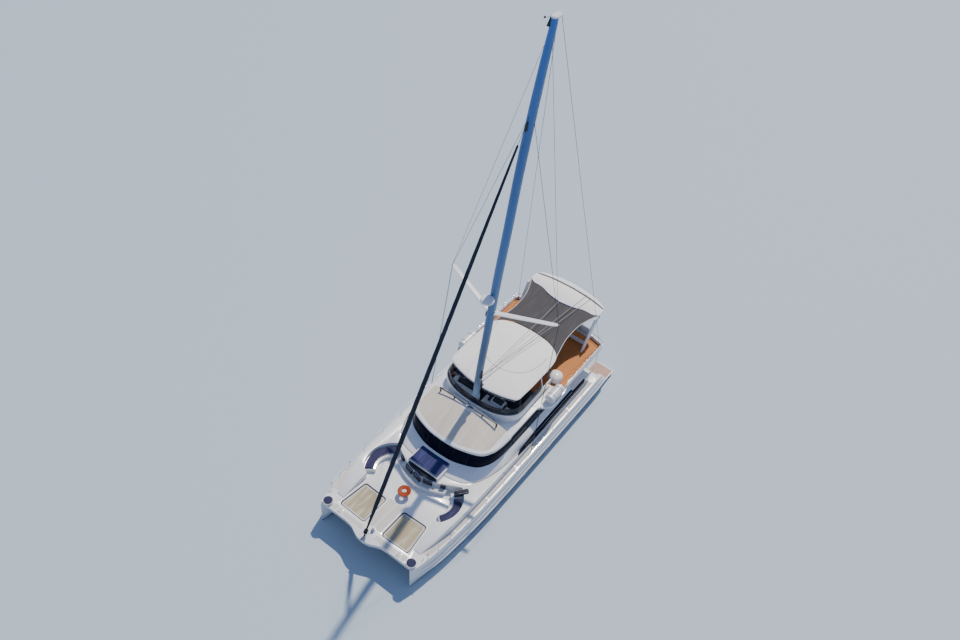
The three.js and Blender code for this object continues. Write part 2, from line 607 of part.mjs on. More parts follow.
// Aft arch
const ARCH_FRONT_HALF = smooth([[-9450, 0], [-9600, 1030], [-9840, 1700], [-9900, 2150], [-9910, 2600],
  [-10130, 3000]], 18);
const ARCH_TIP = [[-10200, 3050], [-10900, 2990], [-11020, 2930]];
const ARCH_BACK_HALF = smooth([[-11120, 2820], [-11430, 2100], [-11640, 1100], [-11720, 0]], 12);
const ARCH_PLAN = bothSides([...ARCH_FRONT_HALF, ...ARCH_TIP, ...ARCH_BACK_HALF]);
const ARCH_THICK = 130;
let arch = prism(ARCH_PLAN, ARCH, ARCH + ARCH_THICK);
const SLOT_LINE = [[-11270, 0], [-11200, 1300], [-11050, 2300], [-10790, 3300]];
const slotLine = (away) => smooth(SLOT_LINE.map(([x, y]) => [x + away, y]), 12);
function slotPlan(width) {
  const front = slotLine(width / 2);
  const back = slotLine(-width / 2);
  const half = [...front.slice(1).map(([x, y]) => [x, -y]).reverse(), ...front];
  return [...half, ...back.slice().reverse(), ...back.slice(1).map(([x, y]) => [x, -y])];
}
const SLOT_FLOOR = ARCH + 70;
arch = arch.subtract(prism(slotPlan(150), SLOT_FLOOR, ARCH + 200));
const LEG_Y = 2990;
const LEG_HALF = 50;
const ARCH_LEG = [[-9640, ARCH + 60], [-10400, ARCH + 60], [-9780, 6050], [-9220, 5200],
  [-8870, FLY_FLOOR + GAP], [-8450, FLY_FLOOR + GAP], [-8780, 5250], [-9200, 6150]];
for (const side of [PORT, STARBOARD]) {
  arch = arch.add(crosswise(ARCH_LEG, side * LEG_Y - LEG_HALF, side * LEG_Y + LEG_HALF));
}
addNode('arch', arch, GELCOAT);
const TRAVELLER_HALF = 2500;
const travellerTrack = prism(slotPlan(70), SLOT_FLOOR + GAP, ARCH + 125)
  .intersect(block(-12000, -9000, -TRAVELLER_HALF, TRAVELLER_HALF, 0, 9000));
addNode('traveller_track', travellerTrack, DARK_WIRE);

// Mesh shade stretched from the hardtop to the arch
const SHADE_SIDE = smooth([[-4780, 2880], [-5520, 2600], [-6980, 2340], [-8480, 2400], [-9670, 2760],
  [-10200, 3080]], 14);
const SHADE_HALF = [[-4780, 0], ...SHADE_SIDE, [-10500, 3000], [-10500, 0]];
const SHADE_THICK = 16;
const shadeShape = new THREE.Shape(bothSides(SHADE_HALF).map(([x, y]) => new THREE.Vector2(x, y)));
const shadeGeometry = new THREE.ExtrudeGeometry(shadeShape, { depth: SHADE_THICK, bevelEnabled: false });
const shadePlace = shadeGeometry.getAttribute('position');
const SHADE_LOW = HARDTOP + 85;
const SHADE_HIGH = ARCH + 55;
const SHADE_FORE = -4780;
const SHADE_AFT = -9900;
for (let i = 0; i < shadePlace.count; i += 1) {
  const share = Math.min((SHADE_FORE - shadePlace.getX(i)) / (SHADE_FORE - SHADE_AFT), 1);
  shadePlace.setZ(i, shadePlace.getZ(i) + mix(SHADE_LOW, SHADE_HIGH, share));
}
const besideHardtop = prism(bothSides(TOP_HALF), HARDTOP - 100, HARDTOP + 400).translate([-GAP, 0, 0]);
const besideArch = prism(ARCH_PLAN, ARCH - 200, ARCH + 400).translate([GAP, 0, 0]);
const shade = toSolid(shadeGeometry).subtract(besideHardtop).subtract(besideArch)
  .subtract(arch.translate([GAP, 0, 0])).subtract(block(-11500, -10150, -3500, 3500, 0, 9000));
addNode('mesh_shade', shade, MESH_CLOTH);

// Liferaft canisters on the shoulders of the flybridge
const RAFT_RADIUS = 380;
const RAFT_X = -3600;
const RAFT_Y = 3850;
const RAFT_Z = FLY_FLOOR + RAFT_RADIUS + 40;
for (const [name, side] of [['port', PORT], ['starboard', STARBOARD]]) {
  const y = side * RAFT_Y;
  const can = [[0, -760], [330, -740], [RAFT_RADIUS - 10, -700], [RAFT_RADIUS, -650], [RAFT_RADIUS, 650],
    [RAFT_RADIUS - 10, 700], [330, 740], [0, 760]];
  const canister = new THREE.LatheGeometry(can.map(([r, z]) => new THREE.Vector2(r, z)), 24);
  canister.rotateZ(Math.PI / 2);
  canister.translate(RAFT_X, y, RAFT_Z);
  let raft = toSolid(canister);
  for (const x of [-4000, -3200]) {
    raft = raft.add(block(x - 60, x + 60, y - 240, y + 240, FLY_FLOOR + GAP, RAFT_Z - 200));
  }
  addNode(`liferaft_${name}`, raft, WHITE_COVER);
}

// Rig
const CHORD = 280;
const HALF_WIDTH = 260;
const HOUNDS_Z = 26900;
const MAST_FOOT_Z = FLY_FLOOR + GAP;

// The mast's height, the middle of its section there, and the section's share of its full size
const MAST_LINE = [[MAST_FOOT_Z, 610, 1], [5750, 600, 1], [7200, 560, 1], [8650, 450, 1], [10900, 190, 1],
  [16000, -320, 1], [19600, -790, 1], [23000, -1170, 1], [25300, -1490, 1], [27700, -1880, 0.95],
  [29900, -2270, 0.85], [MASTHEAD_Z, -2750, 0.72]];
function mastAt(z) {
  const next = Math.max(1, MAST_LINE.findIndex(([height]) => height >= z));
  const [low, lowX] = MAST_LINE[next - 1];
  const [high, highX] = MAST_LINE[next];
  return mix(lowX, highX, (z - low) / (high - low));
}
const MAST_SIDES = 16;
function mastRing([z, x, scale]) {
  const ring = [];
  for (let i = 0; i < MAST_SIDES; i += 1) {
    const turn = (i * 2 * Math.PI) / MAST_SIDES;
    ring.push([x + CHORD * scale * Math.cos(turn), HALF_WIDTH * scale * Math.sin(turn), z]);
  }
  return ring;
}
const mastTube = loft(MAST_LINE.map(mastRing));
const FORESTAY_HEAD_X = -1430;
const tang = block(mastAt(HOUNDS_Z) + 100, FORESTAY_HEAD_X + 40, -30, 30, HOUNDS_Z, HOUNDS_Z + 60);
addNode('mast', mastTube.add(tang), SPAR);

const SPREADER_Z = 13300;
const TIP = [-1400, 4120, 13900];
for (const [name, side] of [['port', PORT], ['starboard', STARBOARD]]) {
  const rootX = mastAt(SPREADER_Z);
  const ring = (x, y, z, chord, thick) => [[x + chord, y, z], [x, y, z + thick], [x - chord, y, z],
    [x, y, z - thick]];
  const root = ring(rootX - 10, side * 60, SPREADER_Z, 230, 60);
  const spreader = loft([root, ring(TIP[0], side * TIP[1], TIP[2], 175, 28)]);
  addNode(`spreader_${name}`, spreader.subtract(mastTube.translate([0, side * GAP, 0])), GELCOAT);
}

const radomeProfile = [[0, 0], [380, 0], [440, 40], [450, 90], [430, 190], [330, 250], [0, 280]];
const radome = new THREE.LatheGeometry(radomeProfile.map(([r, z]) => new THREE.Vector2(r, z)), 20);
radome.rotateX(Math.PI / 2);
const RADOME_Z = 14700;
radome.translate(mastAt(RADOME_Z) + CHORD + 430, 0, RADOME_Z);
const bracketX = mastAt(RADOME_Z) + CHORD;
const bracket = block(bracketX - 60, bracketX + 500, -90, 90, RADOME_Z - 60, RADOME_Z + 10);
addNode('radome', toSolid(radome).add(bracket).subtract(mastTube.translate([GAP, 0, 0])), GELCOAT);

// Furled headsail on its foil, from the drum by the nose to the mast
const TACK = new THREE.Vector3(12020, 0, DECK + 140);
const HOUNDS = new THREE.Vector3(FORESTAY_HEAD_X, 0, HOUNDS_Z - 8);
const foilLength = TACK.distanceTo(HOUNDS);
const furled = [[0, 0], [40, 0], [40, 250], [150, 260], [150, 330], [90, 340], [90, 420], [150, 430],
  [150, 500], [60, 510],
  [70, 900], [150, 2600], [165, 9000], [130, 19000], [70, foilLength - 1700], [70, foilLength - 1500],
  [14, foilLength - 1400], [14, foilLength], [0, foilLength]];
const furledGeometry = new THREE.LatheGeometry(furled.map(([r, z]) => new THREE.Vector2(r, z)), 12);
furledGeometry.applyQuaternion(new THREE.Quaternion().setFromUnitVectors(
  new THREE.Vector3(0, 1, 0), HOUNDS.clone().sub(TACK).normalize()));
furledGeometry.translate(TACK.x, TACK.y, TACK.z);
addNode('furled_headsail', toSolid(furledGeometry), SAILCLOTH);

// Shrouds over the spreader tips and backstays from the masthead
const CHAINPLATE = [-300, 4500, DECK + 30];
for (const [name, side] of [['port', PORT], ['starboard', STARBOARD]]) {
  const hounds = [mastAt(26600) - 60, side * 100, 26600];
  const tip = [TIP[0], side * (TIP[1] + 28.5), TIP[2]];
  const plate = [CHAINPLATE[0], side * CHAINPLATE[1], CHAINPLATE[2]];
  const clip = rod([tip[0], tip[1], tip[2] - 25], [tip[0], tip[1], tip[2] + 25], 28, 28, 8);
  const chainplate = rod([plate[0], plate[1], DECK + GAP], [plate[0], plate[1], DECK + 60], 40, 40, 8);
  const shroud = rod(hounds, tip, 14, 14, 8).add(rod(tip, plate, 14, 14, 8)).add(clip).add(chainplate)
    .subtract(mastTube.translate([0, side * GAP, 0]));
  addNode(`shroud_${name}`, shroud, DARK_WIRE);
  const head = [mastAt(MASTHEAD_Z - 150), side * 60, MASTHEAD_Z - 150];
  const corner = [-9900, side * 3740, FLY_FLOOR + GAP];
  const backstay = rod([corner[0], corner[1], corner[2] + 20], head, 13, 13, 8)
    .add(rod(corner, [corner[0], corner[1], corner[2] + 60], 35, 35, 8))
    .subtract(mastTube.translate([-GAP, side * GAP, 0]));
  addNode(`backstay_${name}`, backstay, DARK_WIRE);
}

// Headsail track across the coachroof, with its car
const TRACK_X = 1400;
const TRACK_TOP = 5290;
let track = block(TRACK_X - 40, TRACK_X + 40, -2450, 2450, TRACK_TOP - 60, TRACK_TOP);
for (const y of [-2400, -1200, 0, 1200, 2400]) {
  track = track.add(block(TRACK_X - 40, TRACK_X + 40, y - 50, y + 50, 4700, TRACK_TOP - 30));
}
addNode('headsail_track', track.subtract(coachroof.translate([0, 0, GAP])), DARK_WIRE);
addNode('headsail_car', block(TRACK_X - 90, TRACK_X + 90, -120, 120, TRACK_TOP + RUNNING, TRACK_TOP + 110),
  STEEL);

// Guard rails along the side decks
for (const [name, side] of [['port', PORT], ['starboard', STARBOARD]]) {
  const posts = [10600, 9700, 8600, 7000, 5000, 3000, 1000, -1000, -3000, -5000, -7000, -9000];
  const at = (x) => side * (along(OUTER_DECK, x) - 90);
  let rail = null;
  for (let i = 0; i < posts.length; i += 1) {
    const foot = [posts[i], at(posts[i]), DECK + GAP];
    const head = [posts[i], at(posts[i]), DECK + 620];
    const post = rod(foot, head, 14, 14, 6);
    rail = rail ? rail.add(post) : post;
    if (i > 0) {
      const last = [posts[i - 1], at(posts[i - 1]), DECK + 610];
      rail = rail.add(rod(last, [posts[i], at(posts[i]), DECK + 610], 8, 8, 6));
      rail = rail.add(rod([last[0], last[1], DECK + 310], [posts[i], at(posts[i]), DECK + 310], 6, 6, 6));
    }
  }
  addNode(`guard_rail_${name}`, rail, STEEL);
}

// Rudders, shafts and propellers
const BLADE_PITCH = 0.6;
const SHAFT_LENGTH = 2600;
for (const [name, side] of [['port', PORT], ['starboard', STARBOARD]]) {
  const y = side * HULL_MIDDLE;
  const blade = [[RUDDER_X + 190, -480], [RUDDER_X - 520, -480], [RUDDER_X - 430, -1450],
    [RUDDER_X + 90, -1450]];
  const rudder = crosswise(blade, y - 45, y + 45).add(rod([RUDDER_X, y, -500], [RUDDER_X, y, 150], STOCK,
    STOCK, 32));
  addNode(`rudder_${name}`, rudder, ANTIFOUL);
  const lowered = hulls[side].translate([0, 0, -GAP]);
  const shaft = rod([0, 0, 0], [SHAFT_LENGTH, 0, 0], 32, 32, 10)
    .rotate([0, -SHAFT_TILT, 0])
    .translate([SHAFT_X, y, SHAFT_Z])
    .add(block(SHAFT_X + 50, SHAFT_X + 150, y - 20, y + 20, SHAFT_Z, -300))
    .subtract(lowered);
  addNode(`shaft_${name}`, shaft, STEEL);
  let propeller = rod([-150, 0, 0], [-RUNNING, 0, 0], 50, 75, 14);
  for (let i = 0; i < 3; i += 1) {
    const paddle = new THREE.BoxGeometry(16, 150, 260);
    paddle.translate(0, 0, 170);
    paddle.rotateZ(BLADE_PITCH);
    paddle.rotateX((i * 2 * Math.PI) / 3);
    paddle.translate(-80, 0, 0);
    propeller = propeller.add(toSolid(paddle));
  }
  addNode(`propeller_${name}`, propeller.rotate([0, -SHAFT_TILT, 0]).translate([SHAFT_X, y, SHAFT_Z]),
    BRONZE);
}

// Cockpit seat across the stern
addNode('cockpit_seat', block(-10100, -9400, -2400, 2400, DECK + GAP, DECK + 450), WHITE_COVER);

// Locker ahead of the cabin with a curved seat on its front, a backrest and the sun pad on top
const LOCKER_FRONT = smooth([[6600, 0], [6420, 900], [6080, 1650], [5700, 2300], [5444, 2813]], 14);
const LOCKER_AFT = 4700;
const SEAT_DEPTH = 520;
const SEAT_HALF = 2100;
const BACK_THICK = 130;
const PAD_HALF = 1230;
const PAD_FRONT = 6200;
const PAD_BASE = 3060;
const PAD_TOP = 3190;
const trunkFilled = loft([outlineRing(TRUNK_FOOT_HALF, PLATEAU + GAP, -1),
  outlineRing(WINDOW_FOOT_HALF, WINDOW_FOOT, -1)]);
const backLine = LOCKER_FRONT.filter(([, y]) => y < SEAT_HALF);
const strip = (from, to) => {
  const front = bothSides(backLine.map(([x, y]) => [x + to, y]));
  const half = backLine.length;
  const ordered = [...front.slice(half), ...front.slice(0, half)];
  return [...ordered, ...ordered.map(([x, y]) => [x - to + from, y]).reverse()];
};
let locker = prism(bothSides([...LOCKER_FRONT, [LOCKER_AFT, 3179], [LOCKER_AFT, 0]]), DECK + GAP, PLATEAU);
locker = locker.add(prism(strip(-200, SEAT_DEPTH), DECK + GAP, DECK + 340));
locker = locker.add(block(LOCKER_AFT, PAD_FRONT, -PAD_HALF - 40, PAD_HALF + 40, PLATEAU - 20, PAD_BASE));
addNode('front_locker', locker.subtract(trunkFilled), GELCOAT);
addNode('front_backrest', prism(strip(GAP, BACK_THICK), DECK + 340 + GAP, PLATEAU + 110), NAVY);
const sunPad = block(4700, PAD_FRONT - 30, -PAD_HALF, PAD_HALF, PAD_BASE + GAP, PAD_TOP);
addNode('sun_pad', sunPad.subtract(trunkFilled), NAVY);

export default boat;
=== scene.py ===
import math
import random

import bmesh
import bpy
from mathutils import Matrix, Vector
from mathutils.bvhtree import BVHTree


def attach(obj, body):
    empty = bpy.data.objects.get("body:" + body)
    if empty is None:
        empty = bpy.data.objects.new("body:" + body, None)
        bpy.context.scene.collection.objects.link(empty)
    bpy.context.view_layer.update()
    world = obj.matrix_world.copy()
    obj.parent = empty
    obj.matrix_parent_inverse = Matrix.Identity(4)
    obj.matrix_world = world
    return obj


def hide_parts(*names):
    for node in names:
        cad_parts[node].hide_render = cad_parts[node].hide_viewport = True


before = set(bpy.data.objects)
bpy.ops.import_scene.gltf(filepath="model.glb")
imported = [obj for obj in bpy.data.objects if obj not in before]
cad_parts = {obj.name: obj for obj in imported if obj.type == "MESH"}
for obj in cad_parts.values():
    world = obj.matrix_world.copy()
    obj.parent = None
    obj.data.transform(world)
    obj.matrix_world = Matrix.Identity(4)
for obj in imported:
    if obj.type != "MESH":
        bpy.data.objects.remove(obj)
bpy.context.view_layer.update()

# Camera, high ahead of the port bow and looking down on the decks, as the photograph does.
# Its place and lens follow from known points of the boat: bow seats, spreader tips, arch and mast.
CAMERA_PLACE = Vector((33.3874, 20.6029, 53.6279))
CAMERA_LENS = 33.65
CAMERA_SENSOR = 36.0
CAMERA_HEADING = 3.709714
CAMERA_DIP = 0.8084537
CAMERA_ROLL = 0.1086557
FAR_AWAY = 900.0

scene = bpy.context.scene
ahead = Vector((
    math.cos(CAMERA_HEADING) * math.cos(CAMERA_DIP),
    math.sin(CAMERA_HEADING) * math.cos(CAMERA_DIP),
    -math.sin(CAMERA_DIP),
))
level = Vector((math.sin(CAMERA_HEADING), -math.cos(CAMERA_HEADING), 0.0))
upward = level.cross(ahead)
camera_right = level * math.cos(CAMERA_ROLL) + upward * math.sin(CAMERA_ROLL)
camera_up = upward * math.cos(CAMERA_ROLL) - level * math.sin(CAMERA_ROLL)
camera_data = bpy.data.cameras.new("photo_camera")
camera_data.sensor_width = CAMERA_SENSOR
camera_data.lens = CAMERA_LENS
camera_data.clip_end = FAR_AWAY
camera = bpy.data.objects.new("photo_camera", camera_data)
camera_turn = Matrix((camera_right, camera_up, -ahead)).transposed()
camera.matrix_world = Matrix.Translation(CAMERA_PLACE) @ camera_turn.to_4x4()
scene.collection.objects.link(camera)
scene.camera = camera

# Light, a soft warm sun from astern and high up over a pale blue sky.
# The mast's shadow falls forward over the coachroof, and shaded white turns light blue.
SUN_TRAVEL = Vector((0.545, 0.066, -0.836))
SUN_STRENGTH = 4.6
SUN_WIDTH = math.radians(1.0)
SUN_COLOUR = (1.0, 0.94, 0.85)
SKY_COLOUR = (0.38, 0.54, 1.0, 1.0)
SKY_STRENGTH = 0.62

sun_data = bpy.data.lights.new("sun", "SUN")
sun_data.energy = SUN_STRENGTH
sun_data.angle = SUN_WIDTH
sun_data.color = SUN_COLOUR
sun = bpy.data.objects.new("sun", sun_data)
sun.rotation_mode = "QUATERNION"
sun.rotation_quaternion = SUN_TRAVEL.to_track_quat("-Z", "Y")
scene.collection.objects.link(sun)
sky = bpy.data.worlds.new("sky")
sky.use_nodes = True
sky_light = sky.node_tree.nodes["Background"]
sky_light.inputs["Color"].default_value = SKY_COLOUR
sky_light.inputs["Strength"].default_value = SKY_STRENGTH
scene.world = sky

# Floor, a plain pale plane at the waterline, so that the hulls stand in it as deep as they float.
# It is a stage piece and no part of the boat.
FLOOR_REACH = 400.0
FLOOR_COLOUR = (0.42, 0.5, 0.55, 1.0)
FLOOR_ROUGHNESS = 0.7

floor_mesh = bpy.data.meshes.new("floor")
floor_mesh.from_pydata(
    [(x * FLOOR_REACH, y * FLOOR_REACH, 0.0) for x, y in ((-1, -1), (1, -1), (1, 1), (-1, 1))],
    [],
    [(0, 1, 2, 3)],
)
floor = bpy.data.objects.new("floor", floor_mesh)
scene.collection.objects.link(floor)
floor_finish = bpy.data.materials.new("floor_finish")
floor_finish.use_nodes = True
floor_shader = floor_finish.node_tree.nodes["Principled BSDF"]
floor_shader.inputs["Base Color"].default_value = FLOOR_COLOUR
floor_shader.inputs["Roughness"].default_value = FLOOR_ROUGHNESS
floor_mesh.materials.append(floor_finish)

# Hulls, two slim moulded hulls of white gelcoat with two spray ledges along the outside.
# Below the waterline they wear matt antifouling, and the topsides carry long dark windows that are also
# painted shade for the darkened lower topsides.
WHITE = (0.80, 0.785, 0.75, 1.0)
SALT = (0.62, 0.6, 0.56, 1.0)
BOTTOM_PAINT = (0.018, 0.026, 0.045, 1.0)
BOOT_TOP = 0.07
GELCOAT_ROUGHNESS = 0.24
WELD = 0.00005
FLAT_ANGLE = math.radians(0.3)
SHARP_ANGLE = math.radians(32.0)
ROUND_ANGLE = math.radians(50.0)


def new_group(name, inputs, outputs, family="Shader"):
    """A node group with these inputs (name, kind, value) and outputs (name, kind)."""
    group = bpy.data.node_groups.new(name, family + "NodeTree")
    for label, kind, value in inputs:
        socket = group.interface.new_socket(label, in_out="INPUT", socket_type="NodeSocket" + kind)
        if value is not None:
            socket.default_value = value
    for label, kind in outputs:
        group.interface.new_socket(label, in_out="OUTPUT", socket_type="NodeSocket" + kind)
    start = group.nodes.new("NodeGroupInput")
    end = group.nodes.new("NodeGroupOutput")
    return group, start.outputs, end.inputs


def feed(tree, socket, value):
    """An input linked to another node's socket, or set to a plain value."""
    if isinstance(value, bpy.types.NodeSocket):
        tree.links.new(value, socket)
    else:
        socket.default_value = value


def node(tree, kind, inputs=None, family="ShaderNode", **settings):
    """A node of this kind, with its settings, and its inputs linked or set."""
    made = tree.nodes.new(family + kind)
    for label, value in settings.items():
        setattr(made, label, value)
    for label, value in (inputs or {}).items():
        feed(tree, made.inputs[label], value)
    return made


def blended(tree, factor, first, second, mode="MIX"):
    """The colour between first and second at this factor."""
    mix = node(tree, "Mix", data_type="RGBA", blend_type=mode)
    for index, value in ((0, factor), (6, first), (7, second)):
        feed(tree, mix.inputs[index], value)
    return mix.outputs[2]


def reckon(tree, operation, *numbers):
    """A number worked out from one to three numbers."""
    made = node(tree, "Math", operation=operation)
    for socket, value in zip(made.inputs, numbers):
        feed(tree, socket, value)
    return made.outputs[0]


def noise(tree, place, scale, detail, distortion=0.0):
    """A cloudy pattern of values round one half."""
    return node(tree, "TexNoise", {"Vector": place, "Scale": scale, "Detail": detail,
                                   "Distortion": distortion}).outputs[0]


def stretched(tree, place, scale, turn=(0.0, 0.0, 0.0)):
    """The place turned and scaled, so that a pattern over it runs one way."""
    return node(tree, "Mapping", {"Vector": place, "Rotation": turn, "Scale": scale}).outputs[0]


def ranged(tree, value, low, high):
    """A share that grows from 0 to 1 while the value goes from low to high."""
    return node(tree, "MapRange", {"Value": value, "From Min": low, "From Max": high}).outputs[0]


def make_weathering():
    """Patches of dried salt, faint run marks down the sides and an uneven gloss."""
    group, given, result = new_group("weathering", [
        ("Colour", "Color", WHITE),
        ("Soil", "Color", SALT),
        ("Soiling", "Float", 0.3),
        ("Patch Scale", "Float", 0.6),
        ("Roughness", "Float", GELCOAT_ROUGHNESS),
    ], [("Colour", "Color"), ("Roughness", "Float"), ("Height", "Float")])
    place = node(group, "TexCoord").outputs["Object"]
    patches = noise(group, place, given["Patch Scale"], 6.0)
    runs = noise(group, stretched(group, place, (5.0, 5.0, 0.35)), 1.6, 4.0)
    patch = ranged(group, patches, 0.42, 0.72)
    dirt = reckon(group, "ADD", reckon(group, "MULTIPLY", patch, 0.65), ranged(group, runs, 0.5, 0.75))
    capped = reckon(group, "MINIMUM", reckon(group, "MULTIPLY", dirt, given["Soiling"]), 1.0)
    feed(group, result["Colour"], blended(group, capped, given["Colour"], given["Soil"]))
    uneven = reckon(group, "MULTIPLY", reckon(group, "SUBTRACT", patches, 0.5), 0.18)
    rough = reckon(group, "ADD", given["Roughness"], uneven)
    feed(group, result["Roughness"], reckon(group, "MAXIMUM", rough, 0.03))
    feed(group, result["Height"], noise(group, place, 38.0, 3.0))
    return group


weathering = make_weathering()


def painted(name, colour, soil=SALT, soiling=0.3, scale=0.6, roughness=0.3, metallic=0.0, coat=0.0,
            bump=0.02, specular=0.5, alpha=1.0):
    """A hard finish with the weathering in it."""
    finish = bpy.data.materials.new(name)
    finish.use_nodes = True
    tree = finish.node_tree
    wear = node(tree, "Group", {"Colour": colour, "Soil": soil, "Soiling": soiling, "Patch Scale": scale,
                                "Roughness": roughness}, node_tree=weathering)
    relief = node(tree, "Bump", {"Height": wear.outputs["Height"], "Strength": bump, "Distance": 0.002})
    for label, value in (("Base Color", wear.outputs["Colour"]), ("Roughness", wear.outputs["Roughness"]),
                         ("Normal", relief.outputs[0]), ("Metallic", metallic), ("Coat Weight", coat),
                         ("Specular IOR Level", specular), ("Alpha", alpha)):
        feed(tree, tree.nodes["Principled BSDF"].inputs[label], value)
    return finish


def recoloured(finish, colour):
    """The finish with this colour under its weathering."""
    wear = finish.node_tree.nodes["Principled BSDF"].inputs["Base Color"].links[0].from_node
    feed(finish.node_tree, wear.inputs["Colour"], colour)
    return finish


def patterned(finish, pattern, colour):
    """The finish with a pattern of this colour under its weathering and in its relief."""
    tree = finish.node_tree
    made = node(tree, "Group", {"Colour": colour}, node_tree=pattern)
    relief = tree.nodes["Principled BSDF"].inputs["Normal"].links[0].from_node
    feed(tree, relief.inputs["Height"], made.outputs["Height"])
    return recoloured(finish, made.outputs["Colour"])


def new_piece(name, mesh, finish, *stands_for, body="boat", slot=None):
    """A piece of the boat: its object, its finish, the body that it rides on and the nodes it replaces."""
    piece = bpy.data.objects.new(name, mesh)
    scene.collection.objects.link(piece)
    mesh.materials.clear()
    mesh.materials.append(finish)
    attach(piece, body)
    if stands_for:
        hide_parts(*stands_for)
    return piece


def smoothed(mesh, angle=SHARP_ANGLE):
    """Curved faces of this mesh shaded smooth, with its corners kept sharp."""
    mesh.polygons.foreach_set("use_smooth", [True] * len(mesh.polygons))
    mesh.set_sharp_from_angle(angle=angle)
    return mesh


def applied(mesh, *modifiers):
    """This mesh with modifiers (kind, settings) applied to it."""
    holder = bpy.data.objects.new("holder", mesh)
    scene.collection.objects.link(holder)
    for kind, settings in modifiers:
        modifier = holder.modifiers.new(kind, kind)
        for label, value in settings.items():
            setattr(modifier, label, value)
    depsgraph = bpy.context.evaluated_depsgraph_get()
    result = bpy.data.meshes.new_from_object(holder.evaluated_get(depsgraph))
    bpy.data.objects.remove(holder)
    return result


def moulded(node_name, finish, edge=0.0, body="boat", slot=None, angle=SHARP_ANGLE):
    """A finished copy of a CAD solid: triangles joined, corners eased by edge, curves smooth."""
    work = bmesh.new()
    work.from_mesh(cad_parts[node_name].data)
    bmesh.ops.remove_doubles(work, verts=work.verts, dist=WELD)
    bmesh.ops.dissolve_limit(work, angle_limit=FLAT_ANGLE, verts=work.verts, edges=work.edges)
    mesh = bpy.data.meshes.new(node_name + "_moulding")
    work.to_mesh(mesh)
    work.free()
    if edge:
        mesh = applied(mesh, ("BEVEL", {
            "width": edge,
            "segments": 2,
            "limit_method": "ANGLE",
            "angle_limit": angle,
            "use_clamp_overlap": True,
        }))
    new_piece(node_name + "_finished", smoothed(mesh, angle), finish, node_name, body=body, slot=slot)


def make_hull_finish():
    """White gelcoat above the boot top and antifouling below it."""
    finish = painted("hull_gelcoat", WHITE, soiling=0.22, roughness=GELCOAT_ROUGHNESS, coat=0.4)
    tree = finish.node_tree
    shader = tree.nodes["Principled BSDF"].inputs
    place = node(tree, "TexCoord").outputs["Object"]
    height = node(tree, "SeparateXYZ", {"Vector": place}).outputs["Z"]
    under = reckon(tree, "LESS_THAN", height, BOOT_TOP)
    white = shader["Base Color"].links[0].from_socket
    gloss = shader["Roughness"].links[0].from_socket
    feed(tree, shader["Base Color"], blended(tree, under, white, BOTTOM_PAINT))
    feed(tree, shader["Roughness"], reckon(tree, "MULTIPLY_ADD", under, 0.45, gloss))
    return finish


hull_gelcoat = make_hull_finish()
gelcoat = painted("white_gelcoat", WHITE, soiling=0.25, roughness=GELCOAT_ROUGHNESS, coat=0.4)
SIDES = (("port", 1.0), ("starboard", -1.0))
for side, _ in SIDES:
    moulded("hull_" + side, hull_gelcoat, edge=0.012)

# Bridge deck, foredeck and the raised surround of the bow lounge, moulded with the hulls in gelcoat.
# Non-skid panels are laid on them, a few millimetres proud of narrow gloss margins.
DECK = 2.0
NON_SKID = (0.60, 0.555, 0.49, 1.0)
NON_SKID_SOIL = (0.44, 0.40, 0.34, 1.0)
PANEL_RISE = 0.006
PANEL_CHAMFER = 0.004
MARGIN = 0.09
DECK_EDGE = ((-9.2, 4.6), (-3.0, 4.65), (2.0, 4.66), (5.0, 4.64), (7.0, 4.56), (9.0, 4.42), (10.2, 4.27),
             (11.1, 4.11), (11.6, 3.985))
WALL_FOOT = ((-8.6, 4.06), (-6.0, 4.11), (1.0, 4.19), (3.7, 4.19), (5.5, 4.17), (8.0, 4.08), (9.6, 3.83),
             (10.7, 3.56))


def along(table, x):
    """The value at x on a line through the points of this table."""
    for (x0, y0), (x1, y1) in zip(table, table[1:]):
        if x <= x1:
            break
    return y0 + (y1 - y0) * (x - x0) / (x1 - x0)


def spread(first, last, steps):
    """Numbers at equal steps from first to last."""
    return [first + (last - first) * i / steps for i in range(steps + 1)]


def rounded(corners, radius, steps=5):
    """A closed outline through these corners, each turned with an arc of this radius."""
    outline = []
    for index, corner in enumerate(corners):
        here = Vector(corner)
        back = (Vector(corners[index - 1]) - here).normalized()
        forth = (Vector(corners[(index + 1) % len(corners)]) - here).normalized()
        half = back.angle(forth) / 2
        reach = radius / math.tan(half)
        centre = here + (back + forth).normalized() * (radius / math.sin(half))
        first = (here + back * reach - centre).normalized()
        last = (here + forth * reach - centre).normalized()
        for step in range(steps + 1):
            outline.append(tuple(centre + first.slerp(last, step / steps) * radius))
    return outline


def oblong(x0, y0, x1, y1, radius, steps=5):
    """A rectangle between two opposite corners, with rounded corners."""
    return rounded(((x0, y0), (x1, y0), (x1, y1), (x0, y1)), radius, steps)


def double_area(outline):
    """Twice the area inside an outline, below zero where it runs clockwise."""
    return sum(a[0] * b[1] - b[0] * a[1] for a, b in zip(outline[-1:] + outline[:-1], outline))


def inset(outline, distance):
    """The outline moved inwards by this distance."""
    count = len(outline)
    turn = 1.0 if double_area(outline) > 0 else -1.0
    moved = []
    for index in range(count):
        before = Vector(outline[index]) - Vector(outline[index - 1])
        after = Vector(outline[(index + 1) % count]) - Vector(outline[index])
        run = before.normalized() + after.normalized()
        inward = Vector((-run.y, run.x)).normalized() * turn
        moved.append(tuple(Vector(outline[index]) + inward * distance))
    return moved


def mesh_of(points, faces):
    """A mesh of these points and faces, with its faces pointing out."""
    mesh = bpy.data.meshes.new("form")
    mesh.from_pydata([tuple(point) for point in points], [], faces)
    work = bmesh.new()
    work.from_mesh(mesh)
    bmesh.ops.recalc_face_normals(work, faces=work.faces)
    work.to_mesh(mesh)
    work.free()
    return mesh


